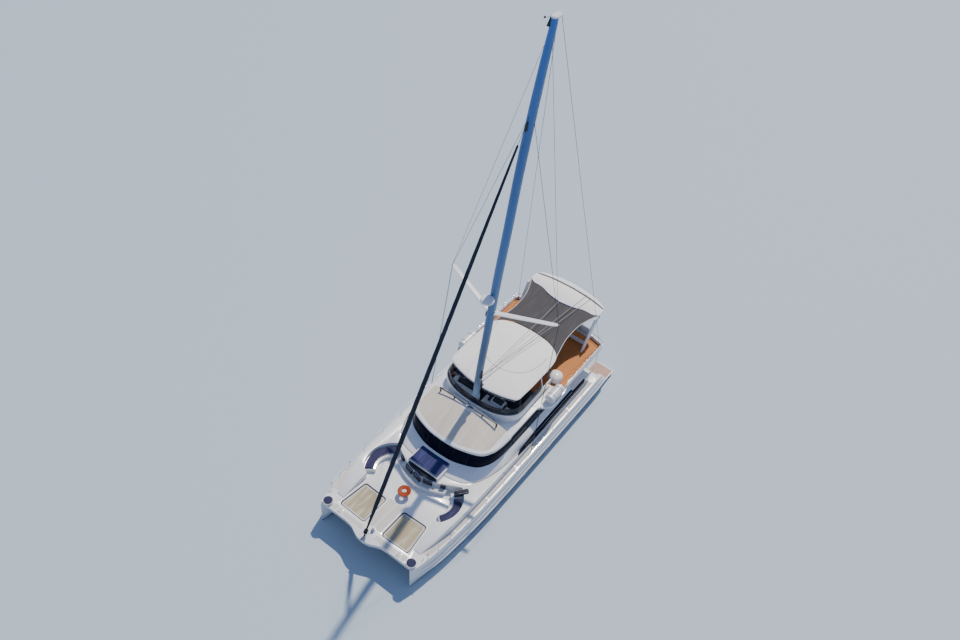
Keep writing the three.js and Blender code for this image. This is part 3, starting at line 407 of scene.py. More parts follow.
def banded(points, around, loop=False):
    """A closed form through rings of this many points; its ends are capped or, in a loop, joined."""
    starts = list(range(0, len(points), around))
    faces = []
    if not loop:
        faces = [tuple(range(around))[::-1], tuple(range(starts[-1], len(points)))]
    for here, there in zip(starts, starts[1:] + starts[:1] if loop else starts[1:]):
        for i in range(around):
            j = (i + 1) % around
            faces.append((here + i, here + j, there + j, there + i))
    return mesh_of(points, faces)


def ringed(rings, loop=False):
    """A closed form through level rings (outline, height) that have equally many points."""
    return banded([(x, y, z) for outline, z in rings for x, y in outline], len(rings[0][0]), loop)


def plate(outline, low, high, chamfer=PANEL_CHAMFER):
    """A flat plate between two heights, its upper edge chamfered."""
    return ringed([(outline, low), (outline, high - chamfer), (inset(outline, chamfer), high)])


def joined(meshes):
    """One mesh of several."""
    work = bmesh.new()
    for mesh in meshes:
        work.from_mesh(mesh)
    whole = bpy.data.meshes.new("joined")
    work.to_mesh(whole)
    work.free()
    return whole


def make_grit():
    """The fine raised grain of deck paint, with scuffed tops."""
    group, given, result = new_group(
        "grit",
        [("Colour", "Color", NON_SKID), ("Scale", "Float", 90.0), ("Scuff", "Float", 0.25)],
        [("Colour", "Color"), ("Height", "Float")],
    )
    place = node(group, "TexCoord").outputs["Object"]
    cells = node(group, "TexVoronoi", {"Vector": place, "Scale": given["Scale"]}, feature="F1")
    grain = node(group, "MapRange", {"Value": cells.outputs["Distance"], "From Max": 0.6, "To Min": 1.0,
                                     "To Max": 0.0})
    scuffed = reckon(group, "MULTIPLY", noise(group, place, 2.2, 5.0), given["Scuff"])
    pale = blended(group, 1.0, given["Colour"], (1.16, 1.16, 1.15, 1.0), "MULTIPLY")
    feed(group, result["Colour"], blended(group, scuffed, given["Colour"], pale))
    feed(group, result["Height"], grain.outputs[0])
    return group


grit = make_grit()


def deck_paint(name, colour, soil):
    """Matt deck paint with grit in it and weathering over it."""
    finish = painted(name, colour, soil, soiling=0.35, scale=0.8, roughness=0.72, bump=0.3)
    return patterned(finish, grit, colour)


non_skid = deck_paint("non_skid_paint", NON_SKID, NON_SKID_SOIL)


def mirrored(outline, side):
    """A port outline, or its mirror image on the starboard side."""
    return [(x, y * side) for x, y in outline]


def side_deck_outline(aft, fore):
    """A side deck panel between the foot of the surround's wall and the deck edge."""
    stations = spread(aft, fore, 10)
    outer = [(x, along(DECK_EDGE, x) - MARGIN - 0.05) for x in stations]
    inner = [(x, along(WALL_FOOT, x) + 0.05) for x in reversed(stations)]
    return outer + inner


moulded("bridgedeck", gelcoat, edge=0.01)
moulded("foredeck", gelcoat, edge=0.01)
SIDE_PANELS = ((-8.5, -5.3), (-5.2, -2.0), (-1.9, 1.3), (1.4, 4.6), (4.7, 7.9), (8.0, 10.55))
SPINE_PANEL = ((8.78, 0.03), (8.78, 0.6), (11.15, 0.6), (11.15, 0.32), (11.0, 0.03))
NOSE_PANEL = (11.42, 2.25, 11.74, 0.55)
FAR_PANEL = (11.33, 2.78, 11.74, 3.1)
for side, sign in SIDES:
    moulded("lounge_bench_" + side, gelcoat, edge=0.012)
    outlines = [side_deck_outline(aft, fore) for aft, fore in SIDE_PANELS]
    outlines += [rounded(SPINE_PANEL, 0.05), oblong(*NOSE_PANEL, 0.08), oblong(*FAR_PANEL, 0.06)]
    panels = [plate(mirrored(outline, sign), DECK, DECK + PANEL_RISE) for outline in outlines]
    new_piece("deck_panels_" + side, joined(panels), non_skid)

# Hull windows, long panes of black glass let into the topsides under the lower spray ledge, which also stand
# in for the shade and dark water reflection there: a painted shade.
# Each is a closed pane that follows the hull, with rounded ends, in a thin rubber frame.
GLASS_BLACK = (0.006, 0.007, 0.018, 1.0)
SHADE_BAND_PANES = ((-8.9, -5.9), (-5.7, -2.7), (-2.5, 0.5), (0.7, 3.7), (3.9, 6.9))
PANE_LOW = 0.36
PANE_HIGH = 0.72
PANE_END = 0.3
PANE_STATIONS = 16
PANE_LIFT = 0.006
FRAME_LIFT = 0.003
FRAME_WIDTH = 0.03
PANE_DEPTH = 0.03
OUTSIDE = 8.0

black_glass = painted("black_glass", GLASS_BLACK, (0.03, 0.032, 0.045, 1.0), soiling=0.1,
                      roughness=0.16, bump=0.004, specular=0.02)
black_trim = painted("black_trim", (0.02, 0.02, 0.022, 1.0), (0.07, 0.07, 0.075, 1.0),
                     soiling=0.4, roughness=0.5)
surfaces = {}


def surface_of(mesh):
    """A tree of this mesh's faces, for rays."""
    return BVHTree.FromPolygons([vertex.co for vertex in mesh.vertices],
                                [face.vertices for face in mesh.polygons])


def landed(node_name, start, direction):
    """The point where a line from start first meets a CAD solid."""
    if node_name not in surfaces:
        surfaces[node_name] = surface_of(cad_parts[node_name].data)
    place = surfaces[node_name].ray_cast(Vector(start), Vector(direction))[0]
    if place is None:
        raise ValueError("no surface of " + node_name + " at " + str(tuple(start)))
    return place


def from_side(node_name, x, z, sign):
    """The point of a CAD solid that a level line from this side of the boat meets first."""
    return landed(node_name, (x, sign * OUTSIDE, z), (0, -sign, 0))


def slab(rows, outward, lift, depth):
    """A closed plate over a grid of points on a surface: lifted by lift, with depth under it."""
    outward = Vector(outward)
    across = len(rows[0])
    points = [point + outward * lift for row in rows for point in row]
    points += [point - outward * depth for row in rows for point in row]
    under = len(rows) * across
    faces = []
    for i in range(len(rows) - 1):
        for j in range(across - 1):
            a = i * across + j
            faces.append((a, a + 1, a + across + 1, a + across))
            faces.append((under + a, under + a + across, under + a + across + 1, under + a + 1))
    rim = list(range(across))
    rim += [i * across + across - 1 for i in range(1, len(rows))]
    rim += [(len(rows) - 1) * across + j for j in range(across - 2, -1, -1)]
    rim += [i * across for i in range(len(rows) - 2, 0, -1)]
    for here, there in zip(rim, rim[1:] + rim[:1]):
        faces.append((here, there, under + there, under + here))
    return smoothed(mesh_of(points, faces))


def side_pane(node_name, sign, aft, fore, lift, grow=0.0):
    """A pane on the side of a solid with half-round ends, larger all round by grow."""
    bottom = PANE_LOW - grow
    top = PANE_HIGH + grow
    middle = (bottom + top) / 2
    rows = []
    for i in range(PANE_STATIONS + 1):
        x = aft - grow + (fore - aft + 2 * grow) * (0.5 - 0.5 * math.cos(math.pi * i / PANE_STATIONS))
        to_end = min(x - aft + grow, fore + grow - x) / PANE_END
        share = math.sqrt(max(1 - (1 - to_end) ** 2, 0.0016)) if to_end < 1 else 1.0
        half = (top - bottom) / 2 * share
        rows.append([from_side(node_name, x, middle - half + 2 * half * j / 3, sign) for j in range(4)])
    return slab(rows, (0, sign, 0), lift, PANE_DEPTH)


for side, sign in SIDES:
    hull = "hull_" + side
    # These panes and their black frames are windows that also paint the shade and dark water reflection on
    # the lower topsides.
    panes = [side_pane(hull, sign, aft, fore, PANE_LIFT) for aft, fore in SHADE_BAND_PANES]
    new_piece("hull_shade_windows_" + side, joined(panes), black_glass)
    frames = [side_pane(hull, sign, aft, fore, FRAME_LIFT, FRAME_WIDTH) for aft, fore in SHADE_BAND_PANES]
    new_piece("hull_shade_window_frames_" + side, joined(frames), black_trim)

# Side windows, one long dark stripe that wraps from the surround's outer wall to the foot of the trunk.
# A round black vent sits ahead of it, near the forward end of the wall.
STRIPE_AFT = -7.9
STRIPE_FORE = 0.95
STRIPE_POINT = 2.6
STRIPE_STEPS = 48
STRIPE_WALL = (2.34, 2.46, 2.58, 2.69)
STRIPE_TRUNK = (2.76, 2.87)
PLATEAU = 2.7
TRUNK_AFT = -6.28
VENT_PLACE = (2.55, 2.42)
VENT = ((0.06, -0.02), (0.06, 0.008), (0.048, 0.016), (0.042, 0.006), (0.004, 0.006))


def stripe_row(side, sign, x):
    """The stripe at x, from low on the outer wall over the ledge and up the trunk; it narrows forward."""
    row = [from_side("lounge_bench_" + side, x, z, sign) for z in STRIPE_WALL]
    corner = Vector((x, row[-1].y, PLATEAU))
    if x > TRUNK_AFT:
        upper = [from_side("cabin_trunk", x, z, sign) for z in STRIPE_TRUNK]
    else:
        upper = [Vector((x, sign * y, PLATEAU)) for y in (4.0, 3.95)]
    row += [corner, Vector((x, upper[0].y + 0.04 * sign, PLATEAU))] + upper
    share = min(1.0, math.sqrt((STRIPE_FORE + 0.02 - x) / STRIPE_POINT))
    return [corner.lerp(point, share) for point in row]


def turns_of(count):
    """The angles of this many equal steps round a circle."""
    return [math.tau * i / count for i in range(count)]


def tube(points, radius, sides=8, closed=False):
    """A round tube through these points, with one radius or one for each point."""
    points = [Vector(point) for point in points]
    radii = radius if isinstance(radius, list) else [radius] * len(points)
    count = len(points)
    corners = []
    side_way = None
    for i, here in enumerate(points):
        before = points[i - 1] if i or closed else here
        after = points[(i + 1) % count] if i + 1 < count or closed else here
        run = (after - before).normalized()
        side_way = side_way or run.orthogonal().normalized()
        side_way = (side_way - run * side_way.dot(run)).normalized()
        other_way = run.cross(side_way)
        for turn in turns_of(sides):
            corners.append(here + (side_way * math.cos(turn) + other_way * math.sin(turn)) * radii[i])
    return smoothed(banded(corners, sides, closed), ROUND_ANGLE)


def turned(profile, centre, axis=(0, 0, 1), sides=28, angle=SHARP_ANGLE):
    """A lathe form: radius and height pairs spun about an axis through the centre."""
    axis = Vector(axis).normalized()
    first = axis.orthogonal().normalized()
    second = axis.cross(first)
    points = []
    for radius, height in profile:
        for turn in turns_of(sides):
            spoke = first * math.cos(turn) + second * math.sin(turn)
            points.append(Vector(centre) + axis * height + spoke * radius)
    return smoothed(banded(points, sides), angle)


for side, sign in SIDES:
    rows = [stripe_row(side, sign, x) for x in spread(STRIPE_AFT, STRIPE_FORE, STRIPE_STEPS)]
    stripe = slab(rows, Vector((0, sign, 1)).normalized(), PANE_LIFT, PANE_DEPTH)
    new_piece("side_windows_" + side, stripe, black_glass)
    vent_place = from_side("lounge_bench_" + side, *VENT_PLACE, sign)
    new_piece("wall_vent_" + side, turned(VENT, vent_place, (0, sign, 0)), black_trim)

# Swim steps, with teak laid on each tread and on the low platform at the stern of each hull.
# The planks run fore and aft with dark caulking, and have weathered to a pale pinkish grey.
STEP_TREADS = ((-11.9, -10.38, 0.45), (-10.24, -9.94, 0.97), (-9.84, -9.54, 1.48))
TREAD_INNER = 3.02
TREAD_OUTER = 4.2
PLATFORM_OUTER = 4.5
TEAK_RISE = 0.012
OILED_TEAK = (0.50, 0.215, 0.065, 1.0)
GREY_TEAK = (0.53, 0.325, 0.235, 1.0)
CAULK = (0.035, 0.03, 0.028, 1.0)


def make_planking():
    """Teak planks along X: caulked seams, a tint for each plank and grain along it."""
    group, given, result = new_group(
        "planking",
        [("Colour", "Color", OILED_TEAK), ("Caulk", "Color", CAULK), ("Plank", "Float", 0.09),
         ("Seam", "Float", 0.09), ("Variation", "Float", 0.5)],
        [("Colour", "Color"), ("Height", "Float")],
    )
    place = node(group, "TexCoord").outputs["Object"]
    split = node(group, "SeparateXYZ", {"Vector": place})
    across = reckon(group, "DIVIDE", split.outputs["Y"], given["Plank"])
    plank = reckon(group, "FLOOR", across)
    seam = reckon(group, "LESS_THAN", reckon(group, "SUBTRACT", across, plank), given["Seam"])
    offset = reckon(group, "MULTIPLY", plank, 0.73)
    along_plank = reckon(group, "ADD", reckon(group, "DIVIDE", split.outputs["X"], 2.1), offset)
    board = reckon(group, "FLOOR", along_plank)
    butt = reckon(group, "LESS_THAN", reckon(group, "SUBTRACT", along_plank, board), 0.004)
    dark = reckon(group, "MAXIMUM", seam, butt)
    key = node(group, "CombineXYZ", {"X": plank, "Y": board})
    tint = node(group, "TexWhiteNoise", {"Vector": key.outputs[0]}, noise_dimensions="3D")
    grain = noise(group, stretched(group, place, (1.2, 26.0, 8.0)), 2.0, 5.0)
    shade = reckon(group, "ADD", reckon(group, "MULTIPLY", tint.outputs[0], 0.6),
                   reckon(group, "MULTIPLY", grain, 0.7))
    dim = blended(group, 1.0, given["Colour"], (0.62, 0.55, 0.5, 1.0), "MULTIPLY")
    wood = blended(group, reckon(group, "MULTIPLY", shade, given["Variation"]), given["Colour"], dim)
    feed(group, result["Colour"], blended(group, dark, wood, given["Caulk"]))
    feed(group, result["Height"], reckon(group, "SUBTRACT", reckon(group, "MULTIPLY", grain, 0.3), dark))
    return group


planking = make_planking()


def planked(name, colour, soil, roughness=0.6):
    """A deck of laid teak."""
    finish = painted(name, colour, soil, soiling=0.3, scale=0.9, roughness=roughness, bump=0.25,
                     specular=0.2)
    return patterned(finish, planking, colour)


grey_teak = planked("weathered_teak", GREY_TEAK, (0.62, 0.52, 0.45, 1.0), roughness=0.7)
oiled_teak = planked("oiled_teak", OILED_TEAK, (0.6, 0.36, 0.17, 1.0))
for side, sign in SIDES:
    treads = []
    for aft, fore, tread_z in STEP_TREADS:
        outer = PLATFORM_OUTER if tread_z < 0.5 else TREAD_OUTER
        tread = mirrored(oblong(aft, TREAD_INNER, fore, outer, 0.06), sign)
        treads.append(plate(tread, tread_z, tread_z + TEAK_RISE))
    new_piece("step_treads_" + side, joined(treads), grey_teak)

# Trampolines, two nets of tan webbing laced into the openings between the foredeck beams.
# Each hangs a few centimetres inside its opening, with white lacing round it and a black rope whose dark
# stands in for the shadowed gap round the net, a painted shade.
NET_CORNERS = ((8.95, 0.72), (11.24, 0.72), (11.18, 2.94), (8.88, 2.66))
NET_TURN = 0.23
NET_INSET = 0.03
NET_Z = 1.93
NET_SAG = 0.035
NET_STEPS = 36
NET_THICK = 0.006
NET_COLOUR = (0.40, 0.335, 0.205, 1.0)
NET_PALE = (0.56, 0.50, 0.36, 1.0)
LACING_PITCH = 0.11
GAP_SHADE_ROPE = 0.042
NET_BORDER = (0.085, 0.165)


def make_webbing():
    """Crossing strands with dark gaps between them, and pale creases where the net is slack."""
    group, given, result = new_group(
        "webbing",
        [("Strand", "Color", NET_COLOUR), ("Crease", "Color", NET_PALE), ("Gap", "Color", CAULK),
         ("Scale", "Float", 60.0), ("Open", "Float", 0.35)],
        [("Colour", "Color"), ("Height", "Float")],
    )
    place = node(group, "TexCoord").outputs["Object"]
    first, second = (
        node(group, "TexWave", {"Vector": place, "Scale": given["Scale"], "Distortion": 0.4},
             bands_direction=direction).outputs[1]
        for direction in ("X", "Y"))
    strand = reckon(group, "MAXIMUM", first, second)
    folds = noise(group, stretched(group, place, (0.5, 2.6, 1.0), (0.0, 0.0, 0.55)), 1.7, 3.0)
    cloth = blended(group, ranged(group, folds, 0.5, 0.68), given["Strand"], given["Crease"])
    hole = reckon(group, "LESS_THAN", strand, given["Open"])
    feed(group, result["Colour"], blended(group, hole, cloth, given["Gap"]))
    feed(group, result["Height"], strand)
    return group


webbing = make_webbing()


def woven(name, strand, crease, gap, scale, opening, roughness=0.9, sheen=0.06, bump=0.4):
    """Cloth or net in which the strands can be seen."""
    finish = bpy.data.materials.new(name)
    finish.use_nodes = True
    tree = finish.node_tree
    weave = node(tree, "Group", {"Strand": strand, "Crease": crease, "Gap": gap, "Scale": scale,
                                 "Open": opening}, node_tree=webbing)
    relief = node(tree, "Bump", {"Height": weave.outputs["Height"], "Strength": bump, "Distance": 0.003})
    for label, value in (("Base Color", weave.outputs["Colour"]), ("Normal", relief.outputs[0]),
                         ("Roughness", roughness), ("Sheen Weight", sheen)):
        feed(tree, tree.nodes["Principled BSDF"].inputs[label], value)
    return finish


def spanned(fore, aft, left, right, across, down):
    """A grid of points between four edge curves, each a function of a share from 0 to 1."""
    rows = []
    for i in range(down + 1):
        t = i / down
        row = []
        for j in range(across + 1):
            s = j / across
            flat = fore(s) * (1 - t) + aft(s) * t + left(t) * (1 - s) + right(t) * s
            corners = (fore(0) * (1 - s) + fore(1) * s) * (1 - t) + (aft(0) * (1 - s) + aft(1) * s) * t
            row.append(flat - corners)
        rows.append(row)
    return rows


def path_point(points, share):
    """The point at this share of the length of a path."""
    points = [Vector(point) for point in points]
    lengths = [(b - a).length for a, b in zip(points, points[1:])]
    left_over = share * sum(lengths)
    for a, b, length in zip(points, points[1:], lengths):
        if left_over <= length:
            return a.lerp(b, left_over / length)
        left_over -= length
    return points[-1]


def cloth_mesh(rows, thick):
    """A thin closed sheet over a grid of points."""
    return slab(rows, (0, 0, 1), thick / 2, thick / 2)


def laced(inner, outer, z, pitch, radius):
    """A zigzag of line between two outlines."""
    length = sum((Vector(b) - Vector(a)).length for a, b in zip(inner, inner[1:] + inner[:1]))
    turns = int(length / pitch)
    inside = [path_point(inner + inner[:1], i / turns) for i in range(turns)]
    outside = [path_point(outer + outer[:1], (i + 0.5) / turns) for i in range(turns)]
    points = []
    for a, b in zip(inside, outside):
        points += [(a.x, a.y, z), (b.x, b.y, z)]
    return tube(points, radius, 5, closed=True)


net_cloth = woven("tan_webbing", NET_COLOUR, NET_PALE, (0.12, 0.10, 0.07, 1.0), 30.0, 0.12)
white_rope = painted("white_rope", (0.66, 0.65, 0.62, 1.0), (0.4, 0.39, 0.36, 1.0), soiling=0.5,
                     scale=3.0, roughness=0.85)
rng = random.Random(24)
for side, sign in SIDES:
    opening = rounded(NET_CORNERS, NET_TURN, 7)
    edge = inset(opening, NET_INSET)
    quarter = len(edge) // 4
    starts = [i * quarter + quarter // 2 for i in range(4)]
    sides_of_net = []
    for i in range(4):
        first, last = starts[i], starts[(i + 1) % 4]
        run = edge[first:last + 1] if last > first else edge[first:] + edge[:last + 1]
        sides_of_net.append([(x, y * sign, NET_Z) for x, y in run])
    low_side, out_side, high_side, in_side = sides_of_net
    rows = spanned(
        lambda s: path_point(low_side, s),
        lambda s: path_point(high_side[::-1], s),
        lambda t: path_point(in_side[::-1], t),
        lambda t: path_point(out_side, t),
        NET_STEPS, NET_STEPS)
    phase = rng.uniform(0.0, math.tau)
    for i, row in enumerate(rows):
        for j, point in enumerate(row):
            s, t = j / NET_STEPS, i / NET_STEPS
            hang = math.sin(math.pi * s) * math.sin(math.pi * t)
            ripple = math.sin(9.0 * s + 5.0 * t + phase) + 0.6 * math.sin(17.0 * t - 6.0 * s + phase)
            point.z -= NET_SAG * hang * (1.0 + 0.25 * ripple)
    net = new_piece("net_" + side, cloth_mesh(rows, NET_THICK), net_cloth, "trampoline_" + side)
    # The black rope is painted shade: it stands in for the shadowed gap between the net and its opening.
    gap_shade_rope = tube([(x, y * sign, NET_Z) for x, y in inset(opening, GAP_SHADE_ROPE)], GAP_SHADE_ROPE, 10,
                     closed=True)
    rope_piece = new_piece("net_gap_shade_rope_" + side, gap_shade_rope, black_trim)
    outer, inner = (mirrored(inset(opening, distance), sign) for distance in NET_BORDER)
    border = ringed([(outer, NET_Z - 0.012), (outer, NET_Z + 0.006), (inner, NET_Z + 0.006),
                     (inner, NET_Z - 0.012)], loop=True)
    border_piece = new_piece("net_border_" + side, border, white_rope)
    lacing = laced(outer, mirrored(opening, sign), NET_Z + 0.02, LACING_PITCH, 0.007)
    lacing_piece = new_piece("net_lacing_" + side, lacing, white_rope)

# Bow seats, a round navy pad in a white moulded dish on each bow, with white piping round the pad.
# The dish stands on a short foot, and a steel toe rail wraps round its forward side.
NAVY = (0.017, 0.017, 0.062, 1.0)
NAVY_PALE = (0.032, 0.031, 0.1, 1.0)
NAVY_DARK = (0.006, 0.006, 0.02, 1.0)
STEEL = (0.62, 0.63, 0.65, 1.0)
STEEL_SOIL = (0.42, 0.40, 0.37, 1.0)
BOW_SEAT = (11.58, 3.56)
DISH = ((0.295, 0.001), (0.3, 0.055), (0.345, 0.08), (0.358, 0.11), (0.358, 0.165), (0.347, 0.184),
        (0.326, 0.184), (0.316, 0.165), (0.316, 0.14), (0.003, 0.14))
PAD = ((0.295, 0.142), (0.307, 0.158), (0.309, 0.195), (0.298, 0.218), (0.262, 0.231), (0.15, 0.238),
       (0.003, 0.24))
PIPING_RADIUS = 0.307
PIPING_Z = 0.206
TOE_RAIL_RADIUS = 0.41
TOE_RAIL_Z = 0.11

indigo_cloth = woven("indigo_cloth", NAVY, NAVY_PALE, NAVY_DARK, 220.0, 0.18, roughness=0.85)
stainless = painted("polished_stainless", STEEL, STEEL_SOIL, soiling=0.3, roughness=0.16,
                    metallic=1.0, bump=0.01)


def ring_line(centre, radius, z, start=0.0, end=math.tau, steps=40):
    """Points on a level arc round a centre."""
    count = steps if end - start > math.tau - 0.001 else steps + 1
    return [(centre[0] + radius * math.cos(start + (end - start) * i / steps),
             centre[1] + radius * math.sin(start + (end - start) * i / steps), z) for i in range(count)]


for side, sign in SIDES:
    place = (BOW_SEAT[0], BOW_SEAT[1] * sign)
    base = (*place, DECK)
    new_piece("bow_seat_dish_" + side, turned(DISH, base, sides=48), gelcoat, "bow_seat_" + side)
    pad = new_piece("bow_seat_pad_" + side, turned(PAD, base, sides=48, angle=math.radians(60)),
                    indigo_cloth, "bow_seat_" + side)
    piping = tube(ring_line(place, PIPING_RADIUS, DECK + PIPING_Z), 0.006, 6, closed=True)
    new_piece("bow_seat_piping_" + side, piping, white_rope)
    rail = tube(ring_line(place, TOE_RAIL_RADIUS, DECK + TOE_RAIL_Z, -1.9 * sign, 1.1 * sign, 24), 0.011)
    feet = []
    for turn in (-1.7, -0.4, 0.9):
        foot = ring_line(place, TOE_RAIL_RADIUS, DECK, turn * sign, turn * sign + 0.1, 1)[0]
        feet.append(tube((foot, (foot[0], foot[1], DECK + TOE_RAIL_Z)), 0.009))
    new_piece("toe_rail_" + side, joined([rail] + feet), stainless)

# Anchor gear on the nose, a windlass whose ribbed drum turns, and a chain that runs to the roller.
# The hatches over the chain lockers by the bows lift on hinges, each with a lip and a flush latch.
WINDLASS = (11.35, 0.15)
DRUM = ((0.125, 0.0), (0.128, 0.03), (0.1, 0.045), (0.078, 0.07), (0.074, 0.1), (0.09, 0.13), (0.112, 0.15),
        (0.112, 0.17), (0.085, 0.185), (0.068, 0.21), (0.072, 0.235), (0.088, 0.25), (0.08, 0.259),
        (0.03, 0.26))
RIBS = 8
LINK_PITCH = 0.062
ROLLER_CENTRE = (12.27, 0.0, 2.1)
HATCH = (11.36, 11.72, 2.32, 2.68)
CLEATS = ((10.9, 3.95), (1.6, 4.53), (-8.6, 4.46))
CLEAT_LENGTH = 0.3


def box(low, high, bevel=0.004):
    """A block with eased edges."""
    (x0, y0, z0), (x1, y1, z1) = low, high
    points = [(x, y, z) for x in (x0, x1) for y in (y0, y1) for z in (z0, z1)]
    faces = [(0, 1, 3, 2), (4, 6, 7, 5), (0, 4, 5, 1), (2, 3, 7, 6), (0, 2, 6, 4), (1, 5, 7, 3)]
    block = mesh_of(points, faces)
    if bevel:
        block = applied(block, ("BEVEL", {"width": bevel, "segments": 2, "limit_method": "ANGLE"}))
    return smoothed(block)


def make_chain(finish):
    """Geometry Nodes that lay chain links along a line, every other one turned on its side."""
    group, given, result = new_group("chain", [
        ("Geometry", "Geometry", None),
        ("Pitch", "Float", LINK_PITCH),
        ("Link Radius", "Float", 0.03),
        ("Wire Radius", "Float", 0.008),
    ], [("Geometry", "Geometry")], "Geometry")

    def step(kind, inputs, **settings):
        return node(group, kind, inputs, "GeometryNode", **settings)

    line = step("MeshToCurve", {"Mesh": given["Geometry"]})
    points = step("CurveToPoints", {"Curve": line.outputs[0], "Length": given["Pitch"]}, mode="LENGTH")
    hoop = step("CurvePrimitiveCircle", {"Resolution": 12, "Radius": given["Link Radius"]})
    long_hoop = step("Transform", {"Geometry": hoop.outputs[0], "Scale": (0.62, 1.0, 1.0),
                                   "Rotation": (math.pi / 2, 0.0, 0.0)})
    wire = step("CurvePrimitiveCircle", {"Resolution": 6, "Radius": given["Wire Radius"]})
    link = step("CurveToMesh", {"Curve": long_hoop.outputs[0], "Profile Curve": wire.outputs[0]})
    odd = reckon(group, "MODULO", step("InputIndex", {}).outputs[0], 2.0)
    spin = node(group, "CombineXYZ", {"Z": reckon(group, "MULTIPLY", odd, math.pi / 2)})
    laid = step("InstanceOnPoints", {"Points": points.outputs["Points"], "Instance": link.outputs[0],
                                     "Rotation": points.outputs["Rotation"]})
    rolled = step("RotateInstances", {"Instances": laid.outputs[0], "Rotation": spin.outputs[0]})
    real = step("RealizeInstances", {"Geometry": rolled.outputs[0]})
    dressed = step("SetMaterial", {"Geometry": real.outputs[0], "Material": finish})
    feed(group, result[0], dressed.outputs[0])
    return group


def laid_along(points, tree, settings):
    """What this Geometry Nodes tree makes of a line, with these values for its inputs."""
    line = bpy.data.meshes.new("line")
    line.from_pydata(points, [(i, i + 1) for i in range(len(points) - 1)], [])
    holder = bpy.data.objects.new("holder", line)
    scene.collection.objects.link(holder)
    modifier = holder.modifiers.new("nodes", "NODES")
    modifier.node_group = tree
    for item in tree.interface.items_tree:
        if item.in_out == "INPUT" and item.name in settings:
            modifier[item.identifier] = settings[item.name]
    holder.update_tag()
    depsgraph = bpy.context.evaluated_depsgraph_get()
    depsgraph.update()
    result = bpy.data.meshes.new_from_object(holder.evaluated_get(depsgraph))
    bpy.data.objects.remove(holder)
    return result


drum_base = (*WINDLASS, DECK + 0.0003)
ribs = []
for turn in turns_of(RIBS):
    foot = (WINDLASS[0] + 0.078 * math.cos(turn), WINDLASS[1] + 0.078 * math.sin(turn), DECK + 0.06)
    top = (foot[0], foot[1], DECK + 0.16)
    ribs.append(tube((foot, top), 0.008, 6))
new_piece("windlass_drum_turned", joined([turned(DRUM, drum_base, sides=40)] + ribs), stainless,
          "windlass_drum", body="windlass_drum")
moulded("bow_roller", stainless, edge=0.006)
sheave = turned(((0.02, -0.055), (0.045, -0.055), (0.05, -0.045), (0.03, 0.0), (0.05, 0.045), (0.045, 0.055),
                 (0.02, 0.055)), ROLLER_CENTRE, (0, 1, 0), 20)
new_piece("roller_sheave", sheave, black_trim)
chain_line = [(11.43, 0.11, 2.08), (11.6, 0.06, 2.04), (11.9, 0.02, 2.145), (12.15, 0.0, 2.155)]
chain = laid_along(chain_line, make_chain(stainless), {"Pitch": LINK_PITCH, "Link Radius": 0.034})
new_piece("anchor_chain", smoothed(chain, math.radians(80)), stainless)
for side, sign in SIDES:
    moulded("bow_hatch_" + side, gelcoat, edge=0.01, body="bow_hatch_" + side)
    aft, fore, inner, outer = HATCH
    grip = oblong(aft + 0.05, inner + 0.05, fore - 0.05, outer - 0.05, 0.04)
    grip_plate = plate(mirrored(grip, sign), DECK + 0.038, DECK + 0.044)
    new_piece("bow_hatch_grip_" + side, grip_plate, non_skid, body="bow_hatch_" + side)
    latch = turned(((0.03, 0.0), (0.03, 0.008), (0.022, 0.01), (0.02, 0.006), (0.002, 0.006)),
                   (fore - 0.025, sign * (inner + outer) / 2, DECK + 0.037), sides=16)
    new_piece("bow_hatch_latch_" + side, latch, stainless, body="bow_hatch_" + side)
    fittings = []
    for x, y in CLEATS:
        half = CLEAT_LENGTH / 2
        horn = [(x + half * share, sign * y, DECK + height)
                for share, height in ((-1.0, 0.07), (-0.6, 0.062), (0.6, 0.062), (1.0, 0.07))]
        fittings.append(tube(horn, [0.008, 0.015, 0.015, 0.008], 8))
        for post_x in (x - 0.05, x + 0.05):
            post = ((post_x, sign * y, DECK), (post_x, sign * y, DECK + 0.06))
            fittings.append(tube(post, [0.02, 0.013], 8))
    new_piece("cleats_" + side, joined(fittings), stainless)

# Lounge cushions, an indigo pad on each curved side seat and loose back cushions by the front seat.
# The pads are puffed by a cloth simulation and lie flat on the seats, with white piping and sewn seams.
BENCH_CENTRE = (7.15, 1.75)
PAD_RADII = (1.325, 1.985)
PAD_ANGLES = {"port": (53.5, 128.5), "starboard": (53.5, 146.5)}
PAD_HEIGHTS = (2.3305, 2.448)
CHARCOAL = (0.022, 0.022, 0.035, 1.0)
CHARCOAL_PALE = (0.045, 0.045, 0.065, 1.0)
PIPING = 0.007
SEAM = 0.004
SEAM_MARGIN = 0.03
PRESSURE = 4.0
PUFF_FRAMES = 20
FRONT_LINE = ((0.0, 6.6), (0.9, 6.42), (1.65, 6.08), (2.3, 5.7))
BACK_CUSHIONS = ((-1.78, 0.42), (-0.9, 0.74), (-0.1, 0.74), (0.69, 0.74), (1.68, 0.4))
SLOPE_REACH = 0.3
BACK_DEPTH = 0.15
BACK_HEIGHT = 0.46
BACK_BOTTOM = 2.342
LONG_SPOT = (5.78, 3.0, 2.452)
LONG_HEADING = math.radians(141.0)
LONG_SIZE = (1.02, 0.34, 0.4)
LEDGE_BACK = 6.172
LEDGE_HALF = 1.22


def soft_form(outline, low, high, ease):
    """A closed pad over an outline, with round upper and lower edges."""
    return ringed([(inset(outline, ease * 0.5), low), (inset(outline, ease * 0.12), low + ease * 0.4),
                   (outline, low + ease), (outline, high - ease),
                   (inset(outline, ease * 0.3), high - ease * 0.3), (inset(outline, ease), high)])


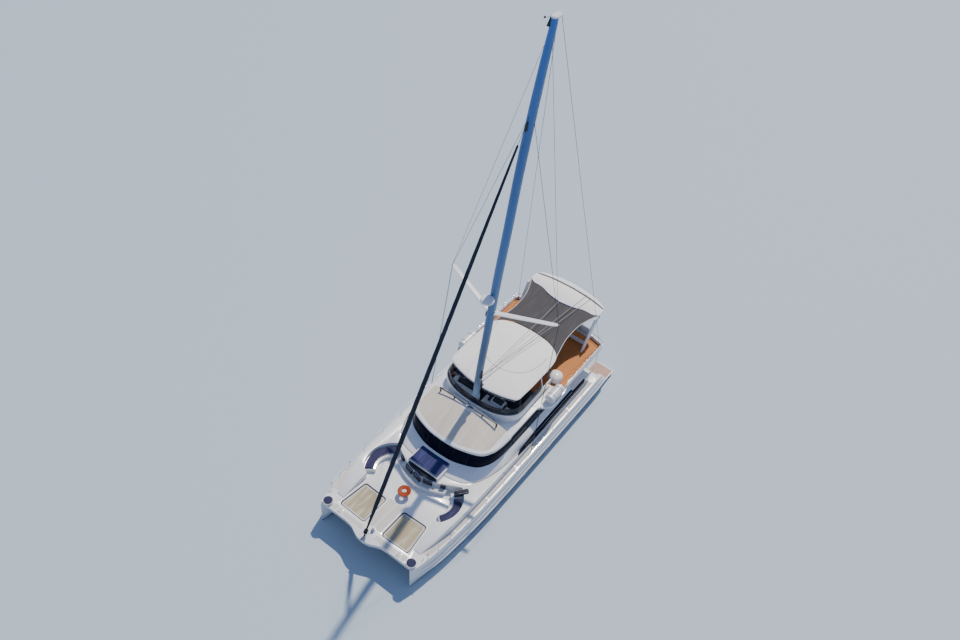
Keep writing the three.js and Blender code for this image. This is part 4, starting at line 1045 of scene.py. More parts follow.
def puffed(mesh, voxel, cap, floor_height=None):
    """The mesh swollen by a cloth simulation, each point moved by cap at most."""
    work = applied(mesh, ("REMESH", {"mode": "VOXEL", "voxel_size": voxel}))
    holder = bpy.data.objects.new("pad_simulation", work)
    scene.collection.objects.link(holder)
    cloth = holder.modifiers.new("Cloth", "CLOTH")
    cloth.settings.use_pressure = True
    cloth.settings.uniform_pressure_force = PRESSURE
    cloth.settings.effector_weights.gravity = 0.0
    for frame_number in range(1, PUFF_FRAMES + 1):
        scene.frame_set(frame_number)
    depsgraph = bpy.context.evaluated_depsgraph_get()
    swollen = bpy.data.meshes.new_from_object(holder.evaluated_get(depsgraph))
    for before, after in zip(work.vertices, swollen.vertices):
        move = after.co - before.co
        if move.length > cap:
            after.co = before.co + move.normalized() * cap
        if floor_height is not None:
            after.co.z = max(after.co.z, floor_height)
    bpy.data.objects.remove(holder)
    scene.frame_set(1)
    return smoothed(applied(swollen, ("SUBSURF", {"levels": 1, "render_levels": 1})), math.radians(80))


def welted(mesh, outline, height, place):
    """Piping round a pad: a closed tube where level rays from outside meet its side."""
    tree = surface_of(mesh)
    turn = place.to_3x3()
    line = []
    for outside, inside in zip(inset(outline, -0.2), outline):
        start = place @ Vector((*outside, height))
        run = turn @ Vector((inside[0] - outside[0], inside[1] - outside[1], 0.0))
        met = tree.ray_cast(start, run.normalized())[0]
        if met is not None:
            line.append(met)
    return tube(line, PIPING, 6, closed=True)


def sewn(mesh, lines, above):
    """Seams: thin cords laid where rays from above meet the pad."""
    tree = surface_of(mesh)
    cords = []
    for line in lines:
        met = [tree.ray_cast(Vector((x, y, above)), Vector((0, 0, -1)))[0] for x, y in line]
        met = [point for point in met if point is not None]
        if len(met) > 1:
            cords.append(tube(met, SEAM, 5))
    return joined(cords)


def cushion(name, outline, low, high, finish, place=None, cap=0.022, voxel=0.03, seams=(), stands_for=()):
    """A puffed pad over an outline, with its piping and seams as pieces of their own."""
    upright = place is not None
    place = place or Matrix.Identity(4)
    form = soft_form(inset(outline, cap * 0.7), low, high - cap * 0.6, min(0.045, (high - low) * 0.4))
    form.transform(place)
    mesh = puffed(form, voxel, cap, None if upright else low)
    pad_piece = new_piece(name, mesh, finish, *stands_for)
    new_piece(name + "_piping", welted(mesh, outline, high - 0.035, place), white_rope)
    if seams:
        new_piece(name + "_seams", sewn(mesh, seams, high + 1.0), black_trim)


def back_pad(name, size, radius, spot, heading, finish, **settings):
    """A puffed pad of this width, depth and height that stands at a spot, turned to a heading."""
    width, depth, height = size
    outline = oblong(-width / 2, -depth / 2, width / 2, depth / 2, radius, 4)
    place = Matrix.Translation(spot) @ Matrix.Rotation(heading, 4, "Z")
    cushion(name, outline, 0.0, height, finish, place=place, **settings)


def arc_points(centre, radius, start, end, steps, sign):
    """Points on an arc between two angles in degrees, mirrored by sign."""
    turns = [math.radians(turn) for turn in spread(start, end, steps)]
    return [(centre[0] + radius * math.cos(turn), sign * (centre[1] + radius * math.sin(turn)))
            for turn in turns]


charcoal_cloth = woven("charcoal_cloth", CHARCOAL, CHARCOAL_PALE, (0.006, 0.006, 0.01, 1.0),
                       220.0, 0.18, roughness=0.85)
for side, sign in SIDES:
    start, end = PAD_ANGLES[side]
    inner, outer = PAD_RADII
    outline = arc_points(BENCH_CENTRE, outer, start, end, 26, sign)
    outline += arc_points(BENCH_CENTRE, inner, start, end, 26, sign)[::-1]
    seams = []
    for i in (1, 2):
        turn = start + (end - start) * i / 3
        reaches = spread(inner + SEAM_MARGIN, outer - SEAM_MARGIN, 8)
        seams.append([arc_points(BENCH_CENTRE, reach, turn, turn, 1, sign)[0] for reach in reaches])
    cushion("lounge_pad_" + side, outline, *PAD_HEIGHTS, indigo_cloth, seams=seams,
            stands_for=("lounge_cushion_" + side,))


def front_line(y):
    """The place and heading of the front seat's back at y."""
    reach = abs(y)
    x = along(FRONT_LINE, reach)
    before = max(reach - SLOPE_REACH, 0.0)
    after = reach + SLOPE_REACH
    slope = (along(FRONT_LINE, after) - along(FRONT_LINE, before)) / min(2 * SLOPE_REACH, after)
    return x, math.atan2(-slope * (1 if y > 0 else -1), 1.0)


for index, (y, width) in enumerate(BACK_CUSHIONS):
    x, heading = front_line(y)
    reach = BACK_DEPTH / 2 + 0.002
    spot = (x + reach * math.cos(heading), y + reach * math.sin(heading), BACK_BOTTOM)
    back_pad("back_cushion_" + str(index + 1), (width, BACK_DEPTH, BACK_HEIGHT), 0.05, spot,
             math.pi / 2 + heading, charcoal_cloth, cap=0.014, voxel=0.026, stands_for=("front_backrest",))
back_pad("long_back_cushion", LONG_SIZE, 0.05, LONG_SPOT, LONG_HEADING, charcoal_cloth, cap=0.014,
         voxel=0.026)

# Sun pad on its plinth and the front locker, whose curved seat is moulded in white with a grip panel.
# The mattress has two sewn seams, and charcoal pads lie on the ledge ahead and against the plinth.
SUN_PAD = (4.71, -1.225, 6.165, 1.225)
SUN_PAD_HEIGHTS = (3.062, 3.188)
SUN_CLOTH = (0.02, 0.023, 0.10, 1.0)
SUN_CLOTH_PALE = (0.034, 0.04, 0.155, 1.0)
STRIP_START = 0.17
STRIP_WIDTH = 0.26
STRIP_HALF = 1.95
STRIP_Z = 2.3395

sun_cloth = woven("sun_pad_cloth", SUN_CLOTH, SUN_CLOTH_PALE, NAVY_DARK, 220.0, 0.15,
                  roughness=0.85)
moulded("front_locker", gelcoat, edge=0.012)
seams = [[(x, y) for x in spread(4.8, 6.08, 16)] for y in (-0.41, 0.41)]
cushion("sun_pad_mattress", oblong(*SUN_PAD, 0.09, 4), *SUN_PAD_HEIGHTS, sun_cloth, seams=seams,
        stands_for=("sun_pad",))
ledge_front = [(front_line(y)[0] - 0.02, y) for y in (-LEDGE_HALF, -0.8, -0.4, 0.0, 0.4, 0.8, LEDGE_HALF)]
ledge = [(LEDGE_BACK + 0.05, -LEDGE_HALF)] + ledge_front + [(LEDGE_BACK + 0.05, LEDGE_HALF)]
cushion("ledge_pad", ledge, 2.702, 2.86, charcoal_cloth, cap=0.016)
back_pad("plinth_pad", (2 * LEDGE_HALF, 0.05, 0.352), 0.02, (LEDGE_BACK + 0.026, 0.0, 2.705), math.pi / 2,
         charcoal_cloth, cap=0.01)
strip = [(front_line(y)[0] + STRIP_START, y) for y in spread(-STRIP_HALF, STRIP_HALF, 26)]
strip += [(x + STRIP_WIDTH, y) for x, y in reversed(strip)]
new_piece("front_seat_grip", plate(strip, STRIP_Z, STRIP_Z + PANEL_RISE), non_skid)

# Round table, a varnished ring with a bullnose edge on four steel legs that stand on a foot ring.
# The hole in its middle is open, so a spot of sun falls through it on the deck.
TABLE = (8.0, -0.06)
TABLE_EDGE = ((0.153, 0.484), (0.44, 0.484), (0.452, 0.49), (0.455, 0.5), (0.452, 0.512), (0.442, 0.519),
              (0.165, 0.519), (0.155, 0.514), (0.152, 0.502))
VARNISH = (0.3, 0.04, 0.002, 1.0)
VARNISH_DARK = (0.24, 0.026, 0.002, 1.0)


def make_varnish():
    """Varnished wood with grain that runs fore and aft under a thin clear coat."""
    finish = painted("varnished_ring", VARNISH, VARNISH_DARK, soiling=0.15, roughness=0.5,
                     coat=0.03, bump=0.02, specular=0.15)
    tree = finish.node_tree
    place = node(tree, "TexCoord").outputs["Object"]
    rings = noise(tree, stretched(tree, place, (1.5, 14.0, 14.0)), 3.0, 6.0, 0.6)
    return recoloured(finish, blended(tree, ranged(tree, rings, 0.38, 0.66), VARNISH, VARNISH_DARK))


varnish = make_varnish()
table_base = (TABLE[0], TABLE[1], DECK)
rim = [point for r, z in TABLE_EDGE for point in ring_line(TABLE, r, DECK + z, steps=64)]
table_ring = smoothed(banded(rim, 64, loop=True))
new_piece("table_ring", table_ring, varnish, "lounge_table")
legs = []
for turn in turns_of(4):
    spoke = Vector((math.cos(turn + math.pi / 4), math.sin(turn + math.pi / 4), 0.0))
    foot = Vector(table_base) + spoke * 0.23 + Vector((0, 0, 0.016))
    legs.append(tube((foot, Vector(table_base) + spoke * 0.25 + Vector((0, 0, 0.49))), 0.018, 12))
legs.append(tube(ring_line(TABLE, 0.23, DECK + 0.017), 0.016, 8, closed=True))
new_piece("table_legs", joined(legs), stainless, "lounge_table")

# Cabin, a sloping white trunk under a wraparound band of black glass with fine upright joints.
# A dark rubber seal runs round the foot of the trunk, where it meets the plateau.
TRUNK_FOOT = ((5.52, 1.2), (5.24, 2.48), (4.5, 3.29), (3.4, 3.72), (2.2, 3.96), (0.0, 4.08), (-6.2, 4.0))
SEAL_Z = 2.712
SIDE_JOINTS = (-4.6, -2.8, -1.0, 0.8)
FRONT_JOINTS = (0.0, 1.05, 2.1)
JOINT_HEIGHTS = (3.27, 3.5, 3.75, 4.0, 4.27)

moulded("cabin_trunk", gelcoat, edge=0.01)
moulded("cabin_windows", black_glass, edge=0.006)


def curved(points, steps=8):
    """A smooth line through these points."""
    points = [Vector(point) for point in points]
    ends = [points[0] * 2 - points[1]] + points + [points[-1] * 2 - points[-2]]
    line = []
    for before, here, there, after in zip(ends, ends[1:], ends[2:], ends[3:]):
        for i in range(steps):
            t = i / steps
            line.append(0.5 * (2 * here + (there - before) * t
                               + (2 * before - 5 * here + 4 * there - after) * t ** 2
                               + (3 * here - 3 * there + after - before) * t ** 3))
    return line + [points[-1]]


for side, sign in SIDES:
    seal_line = curved([(x, sign * (y + 0.012), SEAL_Z) for x, y in TRUNK_FOOT])
    new_piece("trunk_seal_" + side, tube(seal_line, 0.016, 8), black_trim)
    lines = [[from_side("cabin_windows", x, z, sign) for z in JOINT_HEIGHTS] for x in SIDE_JOINTS]
    for y in FRONT_JOINTS:
        if y or sign > 0:
            lines.append([landed("cabin_windows", (OUTSIDE, sign * y, z), (-1, 0, 0))
                          for z in JOINT_HEIGHTS])
    joints = [tube(line, 0.008, 6) for line in lines]
    new_piece("window_joints_" + side, joined(joints), black_trim)

# Coachroof, a cambered white roof with six beige grip panels between white margins.
# The headsail's black track crosses it on short legs, just ahead of the flybridge.
ROOF_EDGE = ((0.0, 4.25), (0.64, 4.2), (1.25, 4.14), (1.98, 3.9), (2.65, 3.62), (2.95, 3.3), (3.18, 2.9),
             (3.3, 2.5))
ROOF_MARGIN = 0.17
PANEL_BACK = ((0.0, 1.68), (0.3, 1.66), (1.76, 1.3), (2.4, 1.16), (3.3, 1.16))
ROOF_PANELS = ((0.03, 1.02), (1.05, 2.04), (2.07, 3.08))
BEIGE = (0.60, 0.53, 0.44, 1.0)
BEIGE_SOIL = (0.45, 0.39, 0.32, 1.0)
ABOVE = 9.0


def from_above(node_name, x, y):
    """The point of a CAD solid that an upright line meets first from above."""
    return landed(node_name, (x, y, ABOVE), (0, 0, -1))


roof_paint = deck_paint("coachroof_paint", BEIGE, BEIGE_SOIL)
moulded("coachroof", gelcoat, edge=0.01)
panels = []
for sign in (1.0, -1.0):
    for near, far in ROOF_PANELS:
        rows = []
        for y in spread(near, far, 8):
            reaches = spread(along(PANEL_BACK, y), along(ROOF_EDGE, y) - ROOF_MARGIN, 20)
            rows.append([from_above("coachroof", x, sign * y) for x in reaches])
        panels.append(slab(rows, (0, 0, 1), 0.006, 0.02))
new_piece("coachroof_panels", joined(panels), roof_paint)
moulded("headsail_track", black_trim, edge=0.004, slot="wire")
moulded("headsail_car", stainless, edge=0.008, body="headsail_car")
sheave = turned(((0.01, -0.02), (0.045, -0.02), (0.035, 0.0), (0.045, 0.02), (0.01, 0.02)),
                (1.4, 0.0, 5.37), (0, 1, 0), 18)
new_piece("headsail_car_sheave", sheave, black_trim, body="headsail_car")
ends = [box((1.352, y - 0.03, 5.222), (1.448, y + 0.03, 5.3)) for y in (2.45, -2.45)]
new_piece("headsail_track_ends", joined(ends), black_trim)

# Saloon door and cockpit, behind the aft bulkhead under the flybridge overhang.
# The sliding leaf and the fixed pane have black frames, the sole is teak, and a table stands on it.
DOOR = ((-0.02, 2.03), (1.56, 4.11))
DOOR_FACE = -6.421
PANE = ((-1.5, 2.06), (0.06, 4.05))
PANE_FACE = -6.36
FRAME = 0.07
FRAME_PROUD = 0.007
SEAT_TOP = 2.45
SEAT_PADS = ((-2.38, -0.82), (-0.79, 0.79), (0.82, 2.38))
COCKPIT_TABLE = (-8.15, 0.0)

moulded("aft_bulkhead", gelcoat, edge=0.008)
moulded("saloon_door", black_glass, edge=0.004, body="saloon_door")
moulded("saloon_pane", black_glass, edge=0.004)


def window_frame(name, corners, face, body="boat"):
    """A frame of four bars on the aft face of a pane."""
    (y0, z0), (y1, z1) = corners
    bars = (((y0, z0), (y0 + FRAME, z1)), ((y1 - FRAME, z0), (y1, z1)),
            ((y0 + FRAME, z0), (y1 - FRAME, z0 + FRAME)), ((y0 + FRAME, z1 - FRAME), (y1 - FRAME, z1)))
    made = [box((face - FRAME_PROUD, *a), (face + 0.001, *b), 0.003) for a, b in bars]
    new_piece(name, joined(made), black_trim, body=body)


window_frame("saloon_door_frame", DOOR, DOOR_FACE, "saloon_door")
window_frame("saloon_pane_frame", PANE, PANE_FACE)
handle = tube([(DOOR_FACE, 0.1, 2.85), (DOOR_FACE - 0.05, 0.1, 2.87), (DOOR_FACE - 0.055, 0.1, 3.05),
               (DOOR_FACE - 0.055, 0.1, 3.2), (DOOR_FACE - 0.05, 0.1, 3.38), (DOOR_FACE, 0.1, 3.4)], 0.014)
new_piece("saloon_door_handle", handle, stainless, body="saloon_door")
sole = oblong(-9.3, -3.3, -6.46, 3.3, 0.08)
new_piece("cockpit_sole", plate(sole, DECK, DECK + TEAK_RISE), oiled_teak)
base = box((-10.1, -2.4, DECK + 0.0003), (-9.4, 2.4, 2.34), 0.02)
new_piece("cockpit_seat_base", base, gelcoat, "cockpit_seat")
for index, (near, far) in enumerate(SEAT_PADS):
    cushion("cockpit_pad_" + str(index + 1), oblong(-10.08, near, -9.42, far, 0.07, 4), 2.341, SEAT_TOP,
            indigo_cloth, stands_for=("cockpit_seat",))
x, y = COCKPIT_TABLE
leaf = oblong(x - 0.45, y - 1.0, x + 0.45, y + 1.0, 0.15)
new_piece("cockpit_table_top", plate(leaf, 2.7, 2.74, 0.012), varnish)
posts = [turned(((0.2, 0.0), (0.2, 0.012), (0.06, 0.03), (0.05, 0.06), (0.05, 0.66), (0.16, 0.7)),
                (x, y + shift, DECK + TEAK_RISE)) for shift in (-0.6, 0.6)]
new_piece("cockpit_table_posts", joined(posts), stainless)

# Flybridge, a moulded deck with a teak sole and a lip that carries a steel rail round its aft part.
# Two steel pillars hold up its stern corners, and benches with low teak tables stand along the lip.
FLY = 4.5
FLY_TEAK = (0.57, 0.2, 0.045, 1.0)
SOLE_HALF = ((0.93, 0.0), (0.87, 0.97), (0.72, 1.74), (0.38, 2.42), (-0.14, 2.9), (-0.79, 3.03),
             (-4.35, 2.95), (-4.5, 3.6), (-4.95, 3.93), (-9.7, 3.88), (-9.9, 3.8), (-9.96, 3.68),
             (-10.15, 2.98), (-10.28, 1.98), (-10.33, 0.98), (-10.35, 0.0))
LIP_LINE = ((-4.95, 4.0), (-6.5, 3.98), (-8.2, 3.955), (-9.7, 3.935), (-9.9, 3.91), (-9.98, 3.84),
            (-10.02, 3.75), (-10.2, 2.98), (-10.33, 1.99), (-10.38, 0.99), (-10.4, 0.0))
LIP_TOP = 4.78
RAIL_Z = 5.06
RAIL = 0.017
RAIL_FOOT = ((0.035, 0.0), (0.035, 0.008), (0.02, 0.016))
PILLAR_AXIS = (-9.98, 3.7)
BENCH_PADS = ((0.92, 1.82), (1.84, 2.73))
WHITE_CLOTH = (0.60, 0.575, 0.54, 1.0)

fly_teak = planked("flybridge_teak", FLY_TEAK, (0.58, 0.26, 0.09, 1.0))
cream_cloth = woven("cream_cloth", WHITE_CLOTH, (0.66, 0.64, 0.6, 1.0),
                    (0.4, 0.38, 0.35, 1.0), 220.0, 0.12, roughness=0.8)


def both_sides(half):
    """A whole outline from its port half, which runs from bow to stern on the centreline."""
    return list(half) + [(x, -y) for x, y in reversed(half) if y > 0.001]


def bar(line, section):
    """A bar of this section (outward, up) carried along a line; outward is to the right of its run."""
    line = [Vector(point) for point in line]
    points = []
    for here, before, after in zip(line, line[:1] + line, line[1:] + line[-1:]):
        run = (after - before).normalized()
        outward = Vector((run.y, -run.x, 0.0)).normalized()
        points += [here + outward * a + Vector((0, 0, b)) for a, b in section]
    return smoothed(banded(points, len(section)))


def athwart(profile, near, far, edge=0.015):
    """A form of this side profile (x, z) between two places across the boat, with eased edges."""
    form = banded([(x, y, z) for y in (near, far) for x, z in profile], len(profile))
    return smoothed(applied(form, ("BEVEL", {"width": edge, "segments": 3, "limit_method": "ANGLE"})))


def on_side(place, sign):
    """A place on the port side, or its mirror image on the starboard side."""
    x, y, z = place
    return (x, y * sign, z)


moulded("flybridge_deck", gelcoat, edge=0.01)
new_piece("flybridge_sole", plate(both_sides(SOLE_HALF), FLY, FLY + TEAK_RISE), fly_teak)
steel_line = [(x, y, RAIL_Z) for x, y in LIP_LINE]
steel_line = [(steel_line[0][0], steel_line[0][1], LIP_TOP)] + steel_line
whole_line = steel_line + [on_side(point, -1.0) for point in reversed(steel_line[:-1])]
rails = [tube(whole_line, RAIL, 10)]
for sign in (1.0, -1.0):
    for x, y in LIP_LINE[1:4] + LIP_LINE[6:10]:
        rails.append(tube(((x, y * sign, LIP_TOP), (x, y * sign, RAIL_Z)), RAIL * 0.8))
        rails.append(turned(RAIL_FOOT, (x, y * sign, LIP_TOP), sides=12))
    x, y = PILLAR_AXIS
    rails.append(tube(((x, y * sign, 0.985), (x, y * sign, 4.44)), 0.05, 20))
    for z, way in ((0.983, 1), (4.449, -1)):
        flange = ((0.11, 0.0), (0.11, 0.015 * way), (0.06, 0.03 * way))
        rails.append(turned(flange, (x, y * sign, z)))
new_piece("flybridge_rail", joined(rails), stainless)
for side, sign in SIDES:
    for index, (near, far) in enumerate(BENCH_PADS):
        outline = mirrored(oblong(-10.1, near, -9.81, far, 0.05, 4), sign)
        cushion("bench_pad_" + side + str(index + 1), outline, 4.861, 4.945, cream_cloth, cap=0.012)
        back_pad("bench_back_" + side + str(index + 1), (far - near, 0.1, 0.34), 0.04,
                 (-10.05, sign * (near + far) / 2, 4.948), math.pi / 2, cream_cloth, cap=0.012)
    leaf = mirrored(oblong(-9.66, 0.89, -9.19, 2.76, 0.05), sign)
    new_piece("bench_table_" + side, plate(leaf, 4.9505, 4.975, 0.008), fly_teak)

# Coaming and windscreen round the helm, a moulded white wall under a low screen of tinted glass.
# Black seals follow the screen's foot and head, and an upright by each front corner carries the hardtop.
SCREEN_FRONT = ((1.03, 0.0), (0.97, 0.99), (0.81, 1.785), (0.46, 2.475), (-0.06, 2.965), (-0.7, 3.105))
SCREEN_AFT_X = -2.95
SCREEN_FOOT = 5.3
SCREEN_HEAD = 5.75
SCREEN_LEAN = 0.10
SCREEN_TINT = (0.008, 0.012, 0.028, 1.0)
SCREEN_ALPHA = 0.7
SCREEN_JOINTS = (0, 1, 10, 18, 34, 42, 51, 52)
UPRIGHT = (-0.58, 2.93)
UPRIGHT_HEAD = 6.56

screen_glass = painted("screen_glass", SCREEN_TINT, (0.05, 0.06, 0.08, 1.0), soiling=0.1,
                       roughness=0.04, coat=0.5, bump=0.0, specular=0.25, alpha=SCREEN_ALPHA)


def screen_line(share, z):
    """The screen's outline at a share of its height, from its port aft end round to starboard."""
    half = [*curved(SCREEN_FRONT, 5), (SCREEN_AFT_X, 3.055)]
    port = [(x - SCREEN_LEAN * share, y * (1 - 0.04 * share), z) for x, y in reversed(half)]
    return port + [on_side(point, -1.0) for point in reversed(port[:-1])]


moulded("flybridge_coaming", gelcoat, edge=0.02)
moulded("windscreen", screen_glass)
seal = ((0.012, 0.0), (0.02, 0.03), (-0.012, 0.13), (-0.035, 0.13), (-0.03, 0.0))
cap = ((0.006, -0.03), (0.008, 0.012), (-0.032, 0.012), (-0.034, -0.03))
foot_line = screen_line(0.0, SCREEN_FOOT + 0.05)
head_line = screen_line(1.0, SCREEN_HEAD)
trims = [bar([on_side(point, -1.0) for point in screen_line(0.0, SCREEN_FOOT + 0.001)], seal),
         bar([on_side(point, -1.0) for point in head_line], cap)]
for index in SCREEN_JOINTS:
    trims.append(tube((foot_line[index], head_line[index]), 0.014, 6))
for sign in (1.0, -1.0):
    x, y = UPRIGHT
    head = (x + 0.02, (y - 0.14) * sign, UPRIGHT_HEAD)
    trims.append(tube(((x, y * sign, SCREEN_FOOT), head), 0.028, 10))
new_piece("screen_trim", joined(trims), black_trim)

# Helm, a console with a black instrument pod, a black-rimmed steel wheel and a cushioned bench.
# A white ledge runs inside the coaming's front with a dark cowl abaft it, and a dark mat on the sole under
# the hardtop is painted shade for the hardtop's deep shadow there.
CONSOLE = ((-0.499, 4.501), (-0.499, 5.31), (-0.46, 5.348), (-0.08, 5.348), (0.098, 5.26), (0.098, 4.501))
POD = ((-0.4, 5.34), (-0.34, 5.5), (-0.25, 5.52), (-0.02, 5.4), (0.04, 5.3))
LEDGE_Y = (0.3, 0.8, 1.25, 1.7, 2.1, 2.4)
LEDGE_AFT = -0.36
LEDGE_FRONT = ((0.0, 0.93), (1.0, 0.87), (1.8, 0.71), (2.5, 0.34))
HOOD = ((-0.35, 5.06), (-0.37, 5.2), (-0.31, 5.27), (-0.15, 5.28), (0.01, 5.2), (0.05, 5.06))
SHADE_MAT_HALF = ((0.42, 0.0), (0.42, 0.9), (0.4, 1.9), (0.1, 2.5), (-0.4, 2.85), (-0.9, 2.93), (-3.0, 2.9),
            (-3.0, 0.0))
WHEEL = (-0.56, 1.4, 5.25)
WHEEL_RADIUS = 0.4

new_piece("console", athwart(CONSOLE, 0.9, 1.9), gelcoat, "helm_console")
new_piece("instrument_pod", athwart(POD, 1.02, 1.78), black_trim)
screens = [athwart(((-0.385, 5.395), (-0.35, 5.485), (-0.343, 5.48), (-0.375, 5.39)), y, y + 0.22, 0.004)
           for y in (1.06, 1.29, 1.52)]
new_piece("instrument_screens", joined(screens), black_glass)
ledges = []
cowls = []
for sign in (1.0, -1.0):
    front = [(along(LEDGE_FRONT, y), y * sign) for y in LEDGE_Y]
    ledges.append(plate(front + [(LEDGE_AFT, y) for x, y in reversed(front)], 5.0, 5.06))
    cowls.append(athwart(HOOD, 0.62 * sign, 2.0 * sign, 0.03))
new_piece("screen_ledge", joined(ledges), gelcoat)
# The charcoal mat is painted shade: it darkens the sole where the hardtop's shadow falls.
shade_mat_mesh = plate(both_sides(SHADE_MAT_HALF), FLY + TEAK_RISE + 0.001, FLY + TEAK_RISE + 0.015)
new_piece("helm_shade_mat", shade_mat_mesh, charcoal_cloth)
new_piece("instrument_cowls", joined(cowls), black_trim)

rim = [(WHEEL[0], WHEEL[1] + WHEEL_RADIUS * math.sin(turn), WHEEL[2] + WHEEL_RADIUS * math.cos(turn))
       for turn in turns_of(48)]
spokes = [turned(((0.06, -0.02), (0.062, 0.0), (0.055, 0.05), (0.045, 0.059)), WHEEL, (1, 0, 0)),
          turned(((0.045, -0.024), (0.03, -0.034), (0.004, -0.036)), WHEEL, (1, 0, 0), 20)]
for turn in turns_of(5):
    spoke = Vector((0.0, math.sin(turn), math.cos(turn)))
    ends = (Vector(WHEEL) + spoke * 0.03, Vector(WHEEL) + spoke * WHEEL_RADIUS)
    spokes.append(tube(ends, [0.014, 0.01], 8))
new_piece("wheel_spokes", joined(spokes), stainless, "helm_wheel", body="helm_wheel")
new_piece("wheel_rim", tube(rim, 0.021, 12, closed=True), black_trim, "helm_wheel", body="helm_wheel")

seat_side = ((-1.98, 4.501), (-1.98, 4.93), (-1.42, 4.93), (-1.42, 4.86), (-1.52, 4.501))
new_piece("helm_seat_base", athwart(seat_side, 0.72, 2.08), gelcoat, "helm_seat")
for index, (near, far) in enumerate(((0.72, 1.39), (1.41, 2.08))):
    cushion("helm_pad_" + str(index + 1), oblong(-1.86, near, -1.41, far, 0.06, 4), 4.931, 5.045,
            indigo_cloth, cap=0.016, stands_for=("helm_seat",))
    back_pad("helm_back_" + str(index + 1), (far - near, 0.12, 0.52), 0.045,
             (-1.925, (near + far) / 2, 4.94), math.pi / 2, indigo_cloth, cap=0.014)
frame_line = [(-1.99, 0.76, 4.9), (-2.02, 0.76, 5.42), (-2.02, 0.86, 5.5), (-2.02, 1.94, 5.5),
              (-2.02, 2.04, 5.42), (-1.99, 2.04, 4.9)]
new_piece("helm_back_frame", tube(frame_line, 0.016, 8), stainless)

sofa_side = ((-4.19, 4.501), (-4.19, 4.8), (-0.61, 4.8), (-0.61, 4.501))
new_piece("sofa_base", athwart(sofa_side, -2.89, -1.92, 0.02), gelcoat, "flybridge_sofa")
for index in range(3):
    aft = -4.18 + index * 1.19
    cushion("sofa_pad_" + str(index + 1), oblong(aft, -2.74, aft + 1.17, -1.91, 0.07, 4), 4.801, 4.94,
            indigo_cloth, stands_for=("flybridge_sofa",))
    back_pad("sofa_back_" + str(index + 1), (1.16, 0.13, 0.46), 0.05, (aft + 0.585, -2.81, 4.805), 0.0,
             indigo_cloth, cap=0.014)

# Hardtop, a crowned shell on four posts over the helm, in matt white with a thin dark line along its top.
# Rolled dark screens hang under its front edge, on a thin steel rail.
TOP_WHITE = (0.87, 0.83, 0.775, 1.0)
TOP_SOIL = (0.68, 0.64, 0.59, 1.0)
TOP_FRONT = ((0.0, 0.47), (0.9, 0.4), (1.9, 0.19), (2.65, -0.08), (2.79, -0.18))
TOP_DARK_LINE = ((-2.15, -1.55), (-1.67, -0.78), (-1.5, 0.19), (-1.9, 1.34), (-2.54, 1.96), (-3.57, 2.28),
            (-4.45, 2.29))
ROLL_Y = (0.36, 0.9, 1.4, 1.9, 2.3, 2.65)

top_paint = painted("hardtop_paint", TOP_WHITE, TOP_SOIL, soiling=0.3, scale=0.5, roughness=0.68,
                    bump=0.05)
moulded("hardtop", top_paint, edge=0.012)
# A thin dark grey line laid along a curve over the top of the hardtop.
dark_line_grey = painted("dark_line_grey", (0.1, 0.1, 0.1, 1.0))
dark_line_points = [from_above("hardtop", x, y) for x, y in curved(TOP_DARK_LINE, 6)]
new_piece("hardtop_dark_line", tube(dark_line_points, 0.016, 6), dark_line_grey)
rolls = []
rails = []
for sign in (1.0, -1.0):
    edge_line = [(along(TOP_FRONT, y) - 0.13, y * sign, 6.43) for y in ROLL_Y]
    rolls.append(tube(edge_line, 0.055, 10))
    rails.append(tube([(x + 0.05, y, z - 0.1) for x, y, z in edge_line], 0.012, 8))
    rails += [tube(((x + 0.05, y, 6.33), (x + 0.02, y, 6.52)), 0.01, 6)
              for x, y, _ in (edge_line[0], edge_line[3], edge_line[5])]
new_piece("rolled_screens", joined(rolls), charcoal_cloth, slot="black_trim")
new_piece("roll_rails", joined(rails), stainless)

# Mesh shade, one sheet of charcoal netting stretched from the hardtop to the arch over the aft deck.
# It hangs slack between them with soft wrinkles, and a white rope runs in its port and starboard hems.
SHADE_FORE = ((-6.08, 0.0), (-5.93, 1.4), (-5.45, 2.4), (-4.7, 2.83), (-3.7, 2.93))
SHADE_SIDE = ((-4.7, 2.83), (-5.5, 2.6), (-6.98, 2.34), (-8.48, 2.4), (-9.67, 2.76), (-10.12, 3.02))
ARCH_FRONT = ((0.0, -9.45), (1.03, -9.6), (1.7, -9.84), (2.15, -9.9), (2.6, -9.91), (3.02, -10.12))
SHADE_Z = ((-10.2, 7.07), (-9.9, 7.063), (-4.7, 6.593), (0.0, 6.593))
SHADE_SAG = 0.05
SHADE_WRINKLE = 0.014
SHADE_CLOTH = (0.071, 0.064, 0.06, 1.0)
SHADE_PALE = (0.085, 0.08, 0.076, 1.0)
SHADE_STEPS = 60
SHADE_THICK = 0.006

shade_cloth = woven("shade_mesh", SHADE_CLOTH, SHADE_PALE, (0.02, 0.02, 0.022, 1.0), 70.0, 0.2,
                    roughness=0.9)


def shade_point(x, y):
    """A point of the flat sheet between the hardtop and the arch."""
    return Vector((x, y, along(SHADE_Z, x)))


